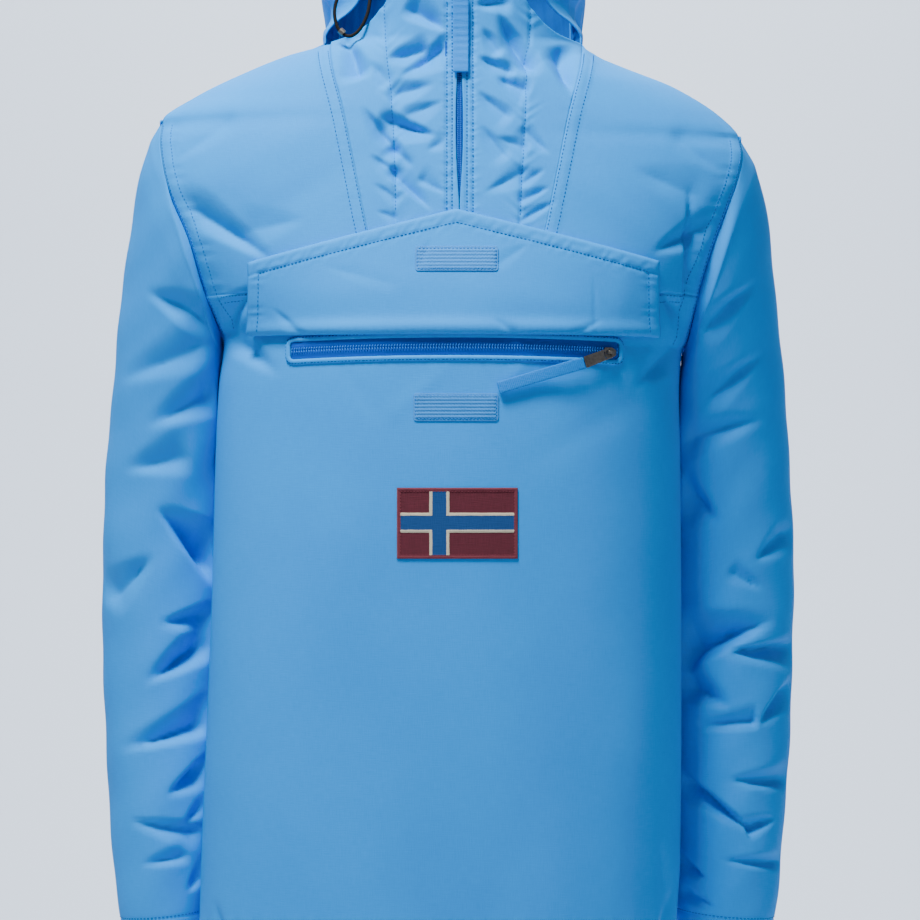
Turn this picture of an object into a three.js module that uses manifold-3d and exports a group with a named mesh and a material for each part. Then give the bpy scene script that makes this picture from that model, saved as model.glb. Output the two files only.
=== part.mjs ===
// Anorak pullover, worn: millimetres, +Z up, the front faces -Y, the wearer's right is -X.
// The origin is the middle of the neck opening, level with the tops of the shoulders.
import * as THREE from "three";
import Module from "manifold-3d";
import { mergeVertices } from "three/addons/utils/BufferGeometryUtils.js";

const wasm = await Module();
wasm.setup();

// Cloth and seams
const clothWall = 2.6;
const hoodWall = 2.4;
const flapWall = 3.4;
const seamHalfGap = 0.2;
const shoulderHalfGap = 0.4;
const hoodHalfGap = 0.5;
const sleeveGap = 0.4;
const lieGap = 0.35;
const bodyClearance = 4;
const sleeveClearance = 3;

// Levels on the body
const hemZ = -760;
const straightTopZ = -266; // the sides are straight seams below this level
const chestSeamZ = -203;
const neckSeamZ = 14;
const ventTopZ = -723;
const ventFrontCut = 13;
const ventBackCut = 4;
const roundness = 0.86;

// Depth of the body in front of and behind the middle plane
const depthRows = [
  { z: -760, front: 136, back: 120 },
  { z: -560, front: 139, back: 118 },
  { z: -340, front: 142, back: 122 },
  { z: -240, front: 140, back: 124 },
  { z: -203, front: 136, back: 124 },
  { z: -144, front: 125, back: 122 },
  { z: -97, front: 117, back: 116 },
  { z: -55, front: 109, back: 103 },
  { z: -20, front: 102, back: 88 },
  { z: 14, front: 97, back: 75 },
  { z: 45, front: 98, back: 74 },
  { z: 90, front: 101, back: 74 },
];

// Each side: half width, how far the front and back edges stand from the middle plane, and how
// far round each panel turns by its edge. The armhole lies between the armpit and the shoulder.
const rightRows = [
  { z: -760, x: 221, frontEdge: 0, backEdge: 0, frontTurn: 90, backTurn: 90 },
  { z: -681, x: 219, frontEdge: 0, backEdge: 0, frontTurn: 90, backTurn: 90 },
  { z: -557, x: 214, frontEdge: 0, backEdge: 0, frontTurn: 90, backTurn: 90 },
  { z: -456, x: 210, frontEdge: 0, backEdge: 0, frontTurn: 90, backTurn: 90 },
  { z: -341, x: 207, frontEdge: 0, backEdge: 0, frontTurn: 90, backTurn: 90 },
  { z: -280, x: 204, frontEdge: 0, backEdge: 0, frontTurn: 90, backTurn: 90 },
  { z: -239, x: 199.5, frontEdge: 0, backEdge: 0, frontTurn: 90, backTurn: 90 },
  { z: -230, x: 202, frontEdge: 25, backEdge: 24, frontTurn: 80, backTurn: 82 },
  { z: -218, x: 206, frontEdge: 39, backEdge: 38, frontTurn: 73, backTurn: 75 },
  { z: -195, x: 214, frontEdge: 52, backEdge: 52, frontTurn: 67, backTurn: 69 },
  { z: -157, x: 225, frontEdge: 60, backEdge: 62, frontTurn: 62, backTurn: 64 },
  { z: -116, x: 242, frontEdge: 56, backEdge: 62, frontTurn: 60, backTurn: 62 },
  { z: -90, x: 249, frontEdge: 47, backEdge: 52, frontTurn: 60, backTurn: 66 },
  { z: -68, x: 252, frontEdge: 33, backEdge: 30, frontTurn: 63, backTurn: 76 },
  { z: -52, x: 251, frontEdge: 18, backEdge: -18, frontTurn: 66, backTurn: 96 },
  { z: -31, x: 222, frontEdge: 18, backEdge: -18, frontTurn: 66, backTurn: 100 },
  { z: -7, x: 172, frontEdge: 18, backEdge: -18, frontTurn: 66, backTurn: 100 },
  { z: 4, x: 144, frontEdge: 18, backEdge: -18, frontTurn: 66, backTurn: 100 },
  { z: 14, x: 113, frontEdge: 18, backEdge: -18, frontTurn: 66, backTurn: 100 },
  { z: 45, x: 105, frontEdge: 18, backEdge: -18, frontTurn: 66, backTurn: 100 },
  { z: 90, x: 104, frontEdge: 18, backEdge: -18, frontTurn: 66, backTurn: 100 },
];
const leftRows = [
  { z: -760, x: 188, frontEdge: 0, backEdge: 0, frontTurn: 90, backTurn: 90 },
  { z: -681, x: 192, frontEdge: 0, backEdge: 0, frontTurn: 90, backTurn: 90 },
  { z: -557, x: 193, frontEdge: 0, backEdge: 0, frontTurn: 90, backTurn: 90 },
  { z: -341, x: 192, frontEdge: 0, backEdge: 0, frontTurn: 90, backTurn: 90 },
  { z: -290, x: 191, frontEdge: 0, backEdge: 0, frontTurn: 90, backTurn: 90 },
  { z: -252, x: 193, frontEdge: 0, backEdge: 0, frontTurn: 90, backTurn: 90 },
  { z: -242, x: 196, frontEdge: 25, backEdge: 24, frontTurn: 80, backTurn: 82 },
  { z: -228, x: 199, frontEdge: 39, backEdge: 38, frontTurn: 73, backTurn: 75 },
  { z: -203, x: 204, frontEdge: 52, backEdge: 52, frontTurn: 67, backTurn: 69 },
  { z: -165, x: 215, frontEdge: 60, backEdge: 62, frontTurn: 62, backTurn: 64 },
  { z: -125, x: 230, frontEdge: 56, backEdge: 62, frontTurn: 60, backTurn: 62 },
  { z: -100, x: 239, frontEdge: 47, backEdge: 52, frontTurn: 60, backTurn: 66 },
  { z: -80, x: 243, frontEdge: 33, backEdge: 30, frontTurn: 63, backTurn: 76 },
  { z: -66, x: 241, frontEdge: 18, backEdge: -18, frontTurn: 66, backTurn: 96 },
  { z: -50, x: 227, frontEdge: 18, backEdge: -18, frontTurn: 66, backTurn: 100 },
  { z: -24, x: 187, frontEdge: 18, backEdge: -18, frontTurn: 66, backTurn: 100 },
  { z: -6, x: 142, frontEdge: 18, backEdge: -18, frontTurn: 66, backTurn: 100 },
  { z: 4, x: 119, frontEdge: 18, backEdge: -18, frontTurn: 66, backTurn: 100 },
  { z: 14, x: 107, frontEdge: 18, backEdge: -18, frontTurn: 66, backTurn: 100 },
  { z: 45, x: 104, frontEdge: 18, backEdge: -18, frontTurn: 66, backTurn: 100 },
  { z: 90, x: 104, frontEdge: 18, backEdge: -18, frontTurn: 66, backTurn: 100 },
];
const rightSide = { name: "right", sign: -1, rows: rightRows, armpitZ: -239, shoulderZ: -52 };
const leftSide = { name: "left", sign: 1, rows: leftRows, armpitZ: -252, shoulderZ: -66 };

// The slanting seam between yoke and neck panel
const neckSeamRows = [
  { z: -203, x: 63 },
  { z: -144, x: 75 },
  { z: -60, x: 92 },
  { z: 14, x: 107 },
];

// Sleeve stations: the outer and inner points of each section, its middle and its half depth
const rightSleeveRows = [
  { outX: 262, outZ: -66, inX: 200, inZ: -252, midY: 3, halfY: 66 },
  { outX: 272, outZ: -92, inX: 200, inZ: -272, midY: 12, halfY: 68 },
  { outX: 282, outZ: -140, inX: 198, inZ: -300, midY: 24, halfY: 68 },
  { outX: 291, outZ: -200, inX: 197, inZ: -335, midY: 36, halfY: 68 },
  { outX: 300, outZ: -280, inX: 196, inZ: -380, midY: 48, halfY: 67 },
  { outX: 307, outZ: -360, inX: 196, inZ: -425, midY: 56, halfY: 65 },
  { outX: 310, outZ: -440, inX: 197, inZ: -475, midY: 58, halfY: 63 },
  { outX: 309, outZ: -520, inX: 199, inZ: -535, midY: 56, halfY: 61 },
  { outX: 306, outZ: -600, inX: 202, inZ: -600, midY: 52, halfY: 58 },
  { outX: 301, outZ: -670, inX: 206, inZ: -665, midY: 48, halfY: 54 },
  { outX: 296, outZ: -720, inX: 210, inZ: -712, midY: 45, halfY: 50 },
  { outX: 291, outZ: -752, inX: 214, inZ: -744, midY: 43, halfY: 46 },
];
const leftSleeveRows = [
  { outX: 254, outZ: -84, inX: 193, inZ: -264, midY: 3, halfY: 66 },
  { outX: 265, outZ: -115, inX: 189, inZ: -285, midY: 12, halfY: 68 },
  { outX: 273, outZ: -160, inX: 185, inZ: -312, midY: 24, halfY: 68 },
  { outX: 279, outZ: -215, inX: 182, inZ: -345, midY: 36, halfY: 68 },
  { outX: 287, outZ: -290, inX: 180, inZ: -385, midY: 48, halfY: 67 },
  { outX: 293, outZ: -370, inX: 178, inZ: -430, midY: 56, halfY: 65 },
  { outX: 295, outZ: -440, inX: 178, inZ: -475, midY: 58, halfY: 63 },
  { outX: 294, outZ: -520, inX: 179, inZ: -535, midY: 56, halfY: 61 },
  { outX: 290, outZ: -600, inX: 181, inZ: -600, midY: 52, halfY: 58 },
  { outX: 285, outZ: -670, inX: 184, inZ: -665, midY: 48, halfY: 54 },
  { outX: 280, outZ: -720, inX: 187, inZ: -712, midY: 45, halfY: 50 },
  { outX: 275, outZ: -752, inX: 190, inZ: -744, midY: 43, halfY: 46 },
];

// Large folds of a sleeve: height, angle round from the outer side, slope, half lengths and depth
const rightFolds = [
  { z: -300, round: 95, slope: 0.5, along: 13, across: 50, depth: 3 },
  { z: -372, round: 70, slope: -0.3, along: 12, across: 45, depth: 3 },
  { z: -452, round: 120, slope: 0.45, along: 12, across: 50, depth: 3 },
  { z: -505, round: 90, slope: -0.5, along: 11, across: 48, depth: 3.5 },
  { z: -578, round: 110, slope: 0.35, along: 13, across: 55, depth: 3 },
  { z: -640, round: 80, slope: -0.35, along: 11, across: 46, depth: 3.5 },
  { z: -690, round: 120, slope: 0.4, along: 10, across: 42, depth: 3 },
  { z: -470, round: 280, slope: 0.3, along: 13, across: 60, depth: 3.5 },
  { z: -590, round: 250, slope: -0.3, along: 13, across: 60, depth: 3 },
];
const leftFolds = [
  { z: -330, round: 100, slope: 0.6, along: 13, across: 50, depth: 5 },
  { z: -418, round: 75, slope: -0.35, along: 12, across: 46, depth: 6 },
  { z: -480, round: 115, slope: 0.5, along: 12, across: 48, depth: 7 },
  { z: -545, round: 90, slope: -0.4, along: 11, across: 48, depth: 6 },
  { z: -604, round: 105, slope: 0.6, along: 13, across: 60, depth: 8 },
  { z: -668, round: 80, slope: -0.3, along: 11, across: 46, depth: 6 },
  { z: -712, round: 115, slope: 0.4, along: 10, across: 40, depth: 4 },
  { z: -455, round: 265, slope: 0.3, along: 13, across: 60, depth: 6 },
  { z: -575, round: 285, slope: -0.3, along: 13, across: 60, depth: 5 },
];

// Hood, pushed back: its cut from the neck seam to the rim, at the front edge, side and back
const hoodCut = [
  { edgeOut: 0, edgeUp: 0, edgeFore: 0, sideOut: 0, sideUp: 0, backOut: 0, backUp: 0 },
  { edgeOut: 0, edgeUp: 5, edgeFore: 0, sideOut: 1, sideUp: 5, backOut: 16, backUp: -14 },
  { edgeOut: -2, edgeUp: 10, edgeFore: 2, sideOut: 2, sideUp: 9, backOut: 25, backUp: -40 },
  { edgeOut: -6, edgeUp: 15, edgeFore: 5, sideOut: 1, sideUp: 14, backOut: 41, backUp: -80 },
  { edgeOut: -12, edgeUp: 20, edgeFore: 9, sideOut: -2, sideUp: 19, backOut: 53, backUp: -120 },
  { edgeOut: -21, edgeUp: 26, edgeFore: 15, sideOut: -4, sideUp: 25, backOut: 68, backUp: -140 },
  { edgeOut: -29, edgeUp: 34, edgeFore: 22, sideOut: -4, sideUp: 32, backOut: 89, backUp: -126 },
  { edgeOut: -34, edgeUp: 45, edgeFore: 28, sideOut: 1, sideUp: 42, backOut: 104, backUp: -78 },
  { edgeOut: -37, edgeUp: 58, edgeFore: 33, sideOut: 8, sideUp: 56, backOut: 104, backUp: -16 },
  { edgeOut: -38, edgeUp: 71, edgeFore: 36, sideOut: 12, sideUp: 71, backOut: 93, backUp: 50 },
  { edgeOut: -37, edgeUp: 82, edgeFore: 38, sideOut: 10, sideUp: 84, backOut: 72, backUp: 98 },
];
const hoodSideAt = 0.78;
const hoodPanelAt = 0.4;

// Neck panels and zip
const zipX = 2.5;
const neckTopEdge = [
  { x: 0, z: 88 },
  { x: 30, z: 76 },
  { x: 52, z: 54 },
  { x: 61, z: 40 },
  { x: 76, z: 24 },
  { x: 89, z: 17 },
  { x: 107, z: 14 },
];
const slit = { topZ: 4, bottomZ: -128, halfWidth: 2.9, edge: 0.3 };
const neckTape = { halfWidth: 12, wall: 1.2, topZ: 82, bottomZ: -196 };

// Pieces that lie on the front
const flap = { left: 167, right: -172, bottomZ: -239, cornerZ: -176, apexZ: -135, lift: 5 };
const upperHook = { x: 0.3, z: -177, width: 68, height: 20.5, wall: 1.2 };
const lowerHook = { x: -0.3, z: -298.5, width: 70, height: 23, wall: 1.2 };
const pocketZip = { x: -1.5, z: -251.5, width: 271, height: 15, wall: 1.3, sag: 3 };
const patch = { x: 0.8, z: -394, width: 99.5, height: 58.5, wall: 1.4 };

// Zip sliders and pullers
const slider = { length: 11, width: 8.6, wall: 1.8, postHeight: 2.6, postAt: 3.1, postWidth: 1.5 };
const bridge = { halfLength: 3.9, halfWidth: 1.1, wall: 0.9 };
const tab = { barHalf: 0.6, window: 7.2, railIn: 3, railOut: 4.4, length: 27, endHalf: 5, wall: 1.3 };
const pocketPull = { x: 126, z: -253, slopeDegrees: 17, ribbonLength: 72, ribbonWidth: 10, wall: 2, endLift: 3.5 };
const neckPull = { x: 3.6, z: 72, strapWidth: 13, strapEndZ: -20, wall: 2.2 };

// Drawcord loop and its crimp
const cordRadius = 1.5;
const cordSteps = 40;
const cordRoute = [
  [-74.9, -48.3, 92.5],
  [-73.9, -51, 91.6],
  [-75.5, -57.5, 88],
  [-81, -63, 79],
  [-89, -67, 67],
  [-96, -69.5, 55],
  [-101, -71, 44],
  [-102.5, -72, 33],
  [-100, -73, 22],
  [-94, -74, 15.5],
  [-88, -75, 14.5],
  [-81, -76, 20],
  [-75, -76, 32],
  [-72.5, -75, 46],
  [-71.4, -71.5, 61],
  [-70.8, -66, 73],
  [-70.9, -59, 82],
  [-72.4, -52, 86],
  [-74.45, -47.2, 87],
];
const crimp = { from: [-98, -73.5, 19.4], to: [-94.6, -74, 16.2], radius: 2.9 };

const toRadians = Math.PI / 180;

// A value between the rows of a table, with no overshoot
function valueAt(rows, key, at, by = "z") {
  const last = rows.length - 1;
  const rising = rows[last][by] > rows[0][by];
  const order = rising ? rows : [...rows].reverse();
  if (at <= order[0][by]) return order[0][key];
  if (at >= order[last][by]) return order[last][key];
  let i = 0;
  while (order[i + 1][by] < at) i += 1;
  const secant = (k) => {
    const run = order[k + 1][by] - order[k][by];
    return (order[k + 1][key] - order[k][key]) / run;
  };
  const slopeAt = (k) => {
    if (k === 0 || k === last) return 0;
    const before = secant(k - 1);
    const after = secant(k);
    return before * after <= 0 ? 0 : (2 * before * after) / (before + after);
  };
  const run = order[i + 1][by] - order[i][by];
  const t = (at - order[i][by]) / run;
  const rise = order[i + 1][key] - order[i][key];
  const startSlope = slopeAt(i) * run;
  const endSlope = slopeAt(i + 1) * run;
  const bend = t * t * (3 - 2 * t) * rise;
  const startBend = t * (1 - t) * (1 - t) * startSlope;
  const endBend = -t * t * (1 - t) * endSlope;
  return order[i][key] + bend + startBend + endBend;
}

const squared = (value) => Math.sign(value) * Math.abs(value) ** roundness;
const lerp = THREE.MathUtils.lerp;

// A point of the front or back of the body: s runs from -1, the right edge, to 1, the left edge
function bodyPoint(z, s, face) {
  const side = s < 0 ? rightSide : leftSide;
  const half = valueAt(side.rows, "x", z);
  const edge = valueAt(side.rows, face + "Edge", z);
  const turn = valueAt(side.rows, face + "Turn", z) * toRadians;
  const depth = valueAt(depthRows, face, z);
  const angle = Math.abs(s) * turn;
  const endCos = squared(Math.cos(turn));
  const x = (half * squared(Math.sin(angle))) / squared(Math.sin(turn));
  const share = (squared(Math.cos(angle)) - endCos) / (1 - endCos);
  const y = edge + (depth - edge) * share;
  return new THREE.Vector3(side.sign * x, face === "front" ? -y : y, z);
}

// How far round the front or back a given x lies, as s
function sAtX(z, x, face) {
  const side = x < 0 ? rightSide : leftSide;
  const half = valueAt(side.rows, "x", z);
  const turn = valueAt(side.rows, face + "Turn", z) * toRadians;
  const sine = Math.min(1, (Math.abs(x) / half) * squared(Math.sin(turn))) ** (1 / roundness);
  return (side.sign * Math.asin(Math.min(1, sine))) / turn;
}

const onBody = (x, z, face) => bodyPoint(z, sAtX(z, x, face), face);

// A point lifted off the front along its normal
function onFront(x, z, lift) {
  const here = onBody(x, z, "front");
  const step = 2;
  const slopeX = (onBody(x + step, z, "front").y - onBody(x - step, z, "front").y) / (2 * step);
  const slopeZ = (onBody(x, z + step, "front").y - onBody(x, z - step, "front").y) / (2 * step);
  const normal = new THREE.Vector3(slopeX, -1, slopeZ).normalize();
  return here.addScaledVector(normal, lift);
}

// A row of evenly spaced points along a curve, trimmed at both ends
function trimmedRow(pointAt, count, startTrim, endTrim) {
  const fine = 90;
  const points = [];
  for (let i = 0; i <= fine; i += 1) points.push(pointAt(i / fine));
  const lengths = [0];
  for (let i = 1; i <= fine; i += 1) {
    lengths.push(lengths[i - 1] + points[i].distanceTo(points[i - 1]));
  }
  const total = lengths[fine];
  const row = [];
  let at = 0;
  for (let k = 0; k <= count; k += 1) {
    const want = lerp(startTrim, total - endTrim, k / count);
    while (at < fine - 1 && lengths[at + 1] < want) at += 1;
    const share = (want - lengths[at]) / (lengths[at + 1] - lengths[at]);
    row.push(points[at].clone().lerp(points[at + 1], share));
  }
  return row;
}

// The direction of a row of points at one of them, curved out to the row's own ends
function slopeOf(pointAt, index, count, round) {
  const last = count - 1;
  if (round || (index > 0 && index < last)) {
    return pointAt(index + 1).clone().sub(pointAt(index - 1));
  }
  if (count < 3) return pointAt(last).clone().sub(pointAt(0));
  const inward = index === 0 ? 1 : -1;
  const slope = pointAt(index).clone().multiplyScalar(-3);
  slope.addScaledVector(pointAt(index + inward), 4).sub(pointAt(index + 2 * inward));
  return slope.multiplyScalar(inward);
}

// A closed wall whose outer face is a grid of points, and whose inner face is moved in by its
// thickness. A round grid joins its last column to its first, and its first ring's thickness
// stays upright, beside the armhole.
function wallFrom(grid, thickness, outward, round = false) {
  const rows = grid.length;
  const columns = grid[0].length;
  const at = (i, j) => grid[i][(j + columns) % columns];
  const positions = [];
  const inner = [];
  for (let i = 0; i < rows; i += 1) {
    for (let j = 0; j < columns; j += 1) {
      const along = slopeOf((k) => at(k, j), i, rows, false);
      const across = slopeOf((k) => at(i, k), j, columns, round);
      const normal = across.cross(along);
      if (round && i === 0) normal.x = 0;
      normal.normalize().multiplyScalar(outward);
      positions.push(...grid[i][j].toArray());
      inner.push(...grid[i][j].clone().addScaledVector(normal, -thickness).toArray());
    }
  }
  positions.push(...inner);
  const count = rows * columns;
  const indices = [];
  const quad = (a, b, c, d) => {
    if (outward > 0) indices.push(a, b, c, a, c, d);
    else indices.push(a, c, b, a, d, c);
  };
  const spans = round ? columns : columns - 1;
  for (let i = 0; i < rows - 1; i += 1) {
    for (let j = 0; j < spans; j += 1) {
      const next = (j + 1) % columns;
      const a = i * columns + j;
      const b = i * columns + next;
      const c = (i + 1) * columns + next;
      const d = (i + 1) * columns + j;
      quad(a, b, c, d);
      quad(count + a, count + d, count + c, count + b);
    }
  }
  for (let j = 0; j < spans; j += 1) {
    const next = (j + 1) % columns;
    const top = (rows - 1) * columns;
    quad(j, count + j, count + next, next);
    quad(top + j, top + next, count + top + next, count + top + j);
  }
  if (!round) {
    for (let i = 0; i < rows - 1; i += 1) {
      const a = i * columns;
      const d = a + columns;
      const b = a + columns - 1;
      const c = b + columns;
      quad(a, d, count + d, count + a);
      quad(b, count + b, count + c, c);
    }
  }
  const geometry = new THREE.BufferGeometry();
  geometry.setAttribute("position", new THREE.Float32BufferAttribute(positions, 3));
  geometry.setIndex(indices);
  geometry.computeVertexNormals();
  return geometry;
}

// Evenly spaced values from one to another
function levels(from, to, count) {
  return Array.from({ length: count + 1 }, (_, i) => lerp(from, to, i / count));
}

const cloth = new THREE.MeshStandardMaterial({ color: 0x5aa7e6, roughness: 0.72 });
const webbing = new THREE.MeshStandardMaterial({ color: 0x4795d6, roughness: 0.8 });
const tapeCloth = new THREE.MeshStandardMaterial({ color: 0x1f62b4, roughness: 0.8 });
const hookTape = new THREE.MeshStandardMaterial({ color: 0x6aabe2, roughness: 0.95 });
const steel = new THREE.MeshStandardMaterial({ color: 0x77706a, roughness: 0.35, metalness: 1 });
const cordCloth = new THREE.MeshStandardMaterial({ color: 0x191413, roughness: 0.85 });
const patchCloth = new THREE.MeshStandardMaterial({ color: 0x5c1a26, roughness: 0.9 });

const anorak = new THREE.Group();
function addPiece(name, geometry, material) {
  const mesh = new THREE.Mesh(geometry, material);
  mesh.name = name;
  anorak.add(mesh);
}

const ventAt = (z) => Math.max(0, (ventTopZ - z) / (ventTopZ - hemZ));

function frontBody() {
  const low = levels(hemZ, straightTopZ, 9);
  const high = levels(straightTopZ + 10, chestSeamZ - seamHalfGap, 8);
  const grid = [...low, ...high].map((z) => {
    const trim = seamHalfGap + ventFrontCut * ventAt(z);
    return trimmedRow((t) => bodyPoint(z, 2 * t - 1, "front"), 20, trim, trim);
  });
  return wallFrom(grid, clothWall, 1);
}

function backBody() {
  const low = levels(hemZ, straightTopZ, 9);
  const high = levels(straightTopZ + 10, neckSeamZ, 18);
  const grid = [...low, ...high].map((z) => {
    const trim = (z > rightSide.armpitZ ? shoulderHalfGap : seamHalfGap) + ventBackCut * ventAt(z);
    return trimmedRow((t) => bodyPoint(z, 2 * t - 1, "back"), 20, trim, trim);
  });
  return wallFrom(grid, clothWall, -1);
}

// A yoke runs from the armhole and shoulder seam to the slanting seam by the neck
function frontYoke(side) {
  const fromZ = chestSeamZ + seamHalfGap;
  const grid = levels(fromZ, neckSeamZ - 2.5, 16).map((z) => {
    const inner = sAtX(z, side.sign * valueAt(neckSeamRows, "x", z), "front");
    const pointAt = (t) => bodyPoint(z, lerp(side.sign, inner, t), "front");
    return trimmedRow(pointAt, 8, shoulderHalfGap, seamHalfGap);
  });
  return wallFrom(grid, clothWall, -side.sign);
}

const slitHalf = (z) => {
  const share = (z - slit.bottomZ) / (slit.topZ - slit.bottomZ);
  const open = share > 0 && share < 1 ? Math.sin(Math.PI * share) : 0;
  return slit.edge + slit.halfWidth * open;
};

// A neck panel runs from the slanting seam to the zip, and its top edge is part of the hood's rim
function neckPanel(side) {
  const fromZ = chestSeamZ + seamHalfGap;
  const rows = 15;
  const columns = 8;
  const grid = levels(0, 1, rows).map((t) => {
    const outerZ = lerp(fromZ, neckSeamZ, t);
    const innerZ = lerp(fromZ, neckTopEdge[0].z, t);
    const outerX = side.sign * valueAt(neckSeamRows, "x", outerZ);
    const innerX = zipX + side.sign * slitHalf(innerZ);
    return trimmedRow(
      (share) => {
        const x = lerp(outerX, innerX, share);
        const straight = lerp(neckSeamZ, neckTopEdge[0].z, share);
        const topEdge = valueAt(neckTopEdge, "z", Math.abs(x), "x");
        const z = lerp(outerZ, innerZ, share) + t ** 5 * (topEdge - straight);
        return onBody(x, z, "front");
      },
      columns,
      seamHalfGap,
      0,
    );
  });
  return wallFrom(grid, clothWall, -side.sign);
}

// Inside the body's outline at a height, with a clearance all round
function insideBody(point, clearance) {
  if (point.z > neckSeamZ) return false;
  const side = point.x < 0 ? rightSide : leftSide;
  if (Math.abs(point.x) > valueAt(side.rows, "x", point.z) + clearance) return false;
  const back = onBody(point.x, point.z, "back").y;
  const front = onBody(point.x, point.z, "front").y;
  return point.y < back + clearance && point.y > front - clearance;
}

function hoodPoint(index, s) {
  const cut = hoodCut[index];
  const base = bodyPoint(neckSeamZ, s, "back");
  const ahead = bodyPoint(neckSeamZ, Math.min(1, s + 0.02), "back");
  const behind = bodyPoint(neckSeamZ, Math.max(-1, s - 0.02), "back");
  const along = ahead.sub(behind);
  const out = new THREE.Vector3(-along.y, along.x, 0).normalize();
  const far = Math.abs(s);
  const toEdge = THREE.MathUtils.smoothstep(far, hoodSideAt, 1);
  const toBack = THREE.MathUtils.smoothstep(hoodSideAt - far, 0, hoodSideAt * 0.95);
  const sideOut = lerp(cut.sideOut, cut.edgeOut, toEdge);
  const sideUp = lerp(cut.sideUp, cut.edgeUp, toEdge);
  const point = base.addScaledVector(out, lerp(sideOut, cut.backOut, toBack));
  point.y -= cut.edgeFore * toEdge;
  point.z += lerp(sideUp, cut.backUp, toBack) + sleeveGap;
  for (let tries = 0; index > 0 && tries < 150 && insideBody(point, bodyClearance); tries += 1) {
    point.z += 1;
  }
  return point;
}

function hoodPanel(fromS, toS, columns, startTrim, endTrim) {
  const grid = hoodCut.map((_, index) =>
    trimmedRow((t) => hoodPoint(index, lerp(fromS, toS, t)), columns, startTrim, endTrim),
  );
  return wallFrom(grid, hoodWall, -1);
}

// The armhole's loop: down its front edge from the shoulder, then up its back edge
function armholePoint(side, round) {
  const share = (1 - Math.cos(round)) / 2;
  const z = lerp(side.shoulderZ, side.armpitZ, share);
  const point = bodyPoint(z, side.sign, round <= Math.PI ? "front" : "back");
  point.x += side.sign * sleeveGap;
  return point;
}

function foldDepth(folds, z, round) {
  let total = 0;
  for (const fold of folds) {
    const turned = ((round / toRadians - fold.round + 540) % 360) - 180;
    const rise = (z - fold.z - fold.slope * turned) / fold.along;
    const spread = turned / fold.across;
    total += fold.depth * Math.exp(-rise * rise) * Math.exp(-spread * spread);
  }
  return total;
}

function sleeve(side, stations, folds) {
  const columns = 26;
  const between = 2;
  const sections = stations.map((row, index) => ({ ...row, index }));
  const last = sections.length - 1;
  const grid = [];
  const turns = levels(0, 2 * Math.PI, columns).slice(0, columns);
  const ringOf = (pointAt) => turns.map((round) => pointAt(round));
  grid.push(ringOf((round) => armholePoint(side, round)));
  for (let k = 0; k <= last * between; k += 1) {
    const at = k / between;
    const part = (key) => valueAt(sections, key, at, "index");
    const outer = new THREE.Vector3(side.sign * part("outX"), part("midY"), part("outZ"));
    const inner = new THREE.Vector3(side.sign * part("inX"), part("midY"), part("inZ"));
    const middle = outer.clone().add(inner).multiplyScalar(0.5);
    const reach = outer.clone().sub(middle);
    grid.push(
      ringOf((round) => {
        const point = middle.clone().addScaledVector(reach, Math.cos(round));
        point.y -= part("halfY") * Math.sin(round);
        const pull = foldDepth(folds, point.z, round);
        const towards = middle.clone().sub(point).normalize();
        point.addScaledVector(towards, pull * Math.min(1, at / 2));
        return clearOfSide(point, side);
      }),
    );
  }
  return wallFrom(grid, clothWall, side.sign, true);
}

// A sleeve lies against the body's side without touching it
function clearOfSide(point, side) {
  if (point.z > side.armpitZ) return point;
  const face = point.y < 0 ? "front" : "back";
  const depth = valueAt(depthRows, face, point.z) + sleeveClearance;
  const share = Math.min(1, Math.abs(point.y) / depth);
  const power = 2 / roundness;
  const half = valueAt(side.rows, "x", point.z) * (1 - share ** power) ** (1 / power);
  if (Math.abs(point.x) < half + sleeveClearance) point.x = side.sign * (half + sleeveClearance);
  return point;
}

// A piece that lies on the front, from its outline's bottom and top edges
function layOnFront(fromX, toX, bottomAt, topAt, columns, rows, outerLift, wall) {
  const grid = levels(0, 1, rows).map((t) =>
    levels(fromX, toX, columns).map((x) => onFront(x, lerp(bottomAt(x), topAt(x), t), outerLift)),
  );
  return wallFrom(grid, wall, 1);
}

function flapPiece() {
  const topAt = (x) => lerp(flap.apexZ, flap.cornerZ, Math.abs(x) / flap.left);
  return layOnFront(flap.right, flap.left, () => flap.bottomZ, topAt, 20, 7, flap.lift, flapWall);
}

function plate(piece, baseLift, columns, rows) {
  const bottom = () => piece.z - piece.height / 2;
  const top = () => piece.z + piece.height / 2;
  const fromX = piece.x - piece.width / 2;
  const outer = baseLift + lieGap + piece.wall;
  return layOnFront(fromX, fromX + piece.width, bottom, top, columns, rows, outer, piece.wall);
}

function pocketTape() {
  const rise = (x) => pocketZip.sag * (1 - ((2 * (x - pocketZip.x)) / pocketZip.width) ** 2);
  const bottom = (x) => pocketZip.z - pocketZip.height / 2 + rise(x);
  const top = (x) => pocketZip.z + pocketZip.height / 2 + rise(x);
  const fromX = pocketZip.x - pocketZip.width / 2;
  const outer = lieGap + pocketZip.wall;
  return layOnFront(fromX, fromX + pocketZip.width, bottom, top, 22, 1, outer, pocketZip.wall);
}

// The zip tape of the neck lies behind the two panels
function neckZipTape() {
  const inLift = -clothWall - 2 * lieGap;
  const grid = levels(neckTape.bottomZ, neckTape.topZ, 14).map((z) =>
    levels(zipX - neckTape.halfWidth, zipX + neckTape.halfWidth, 4).map((x) => onFront(x, z, inLift)),
  );
  return wallFrom(grid, neckTape.wall, 1);
}

const solidOf = (geometry) => {
  const plain = geometry.clone();
  plain.deleteAttribute("normal");
  plain.deleteAttribute("uv");
  const merged = mergeVertices(plain, 1e-4);
  const mesh = new wasm.Mesh({
    numProp: 3,
    vertProperties: merged.attributes.position.array,
    triVerts: new Uint32Array(merged.index.array),
  });
  return new wasm.Manifold(mesh);
};

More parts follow.
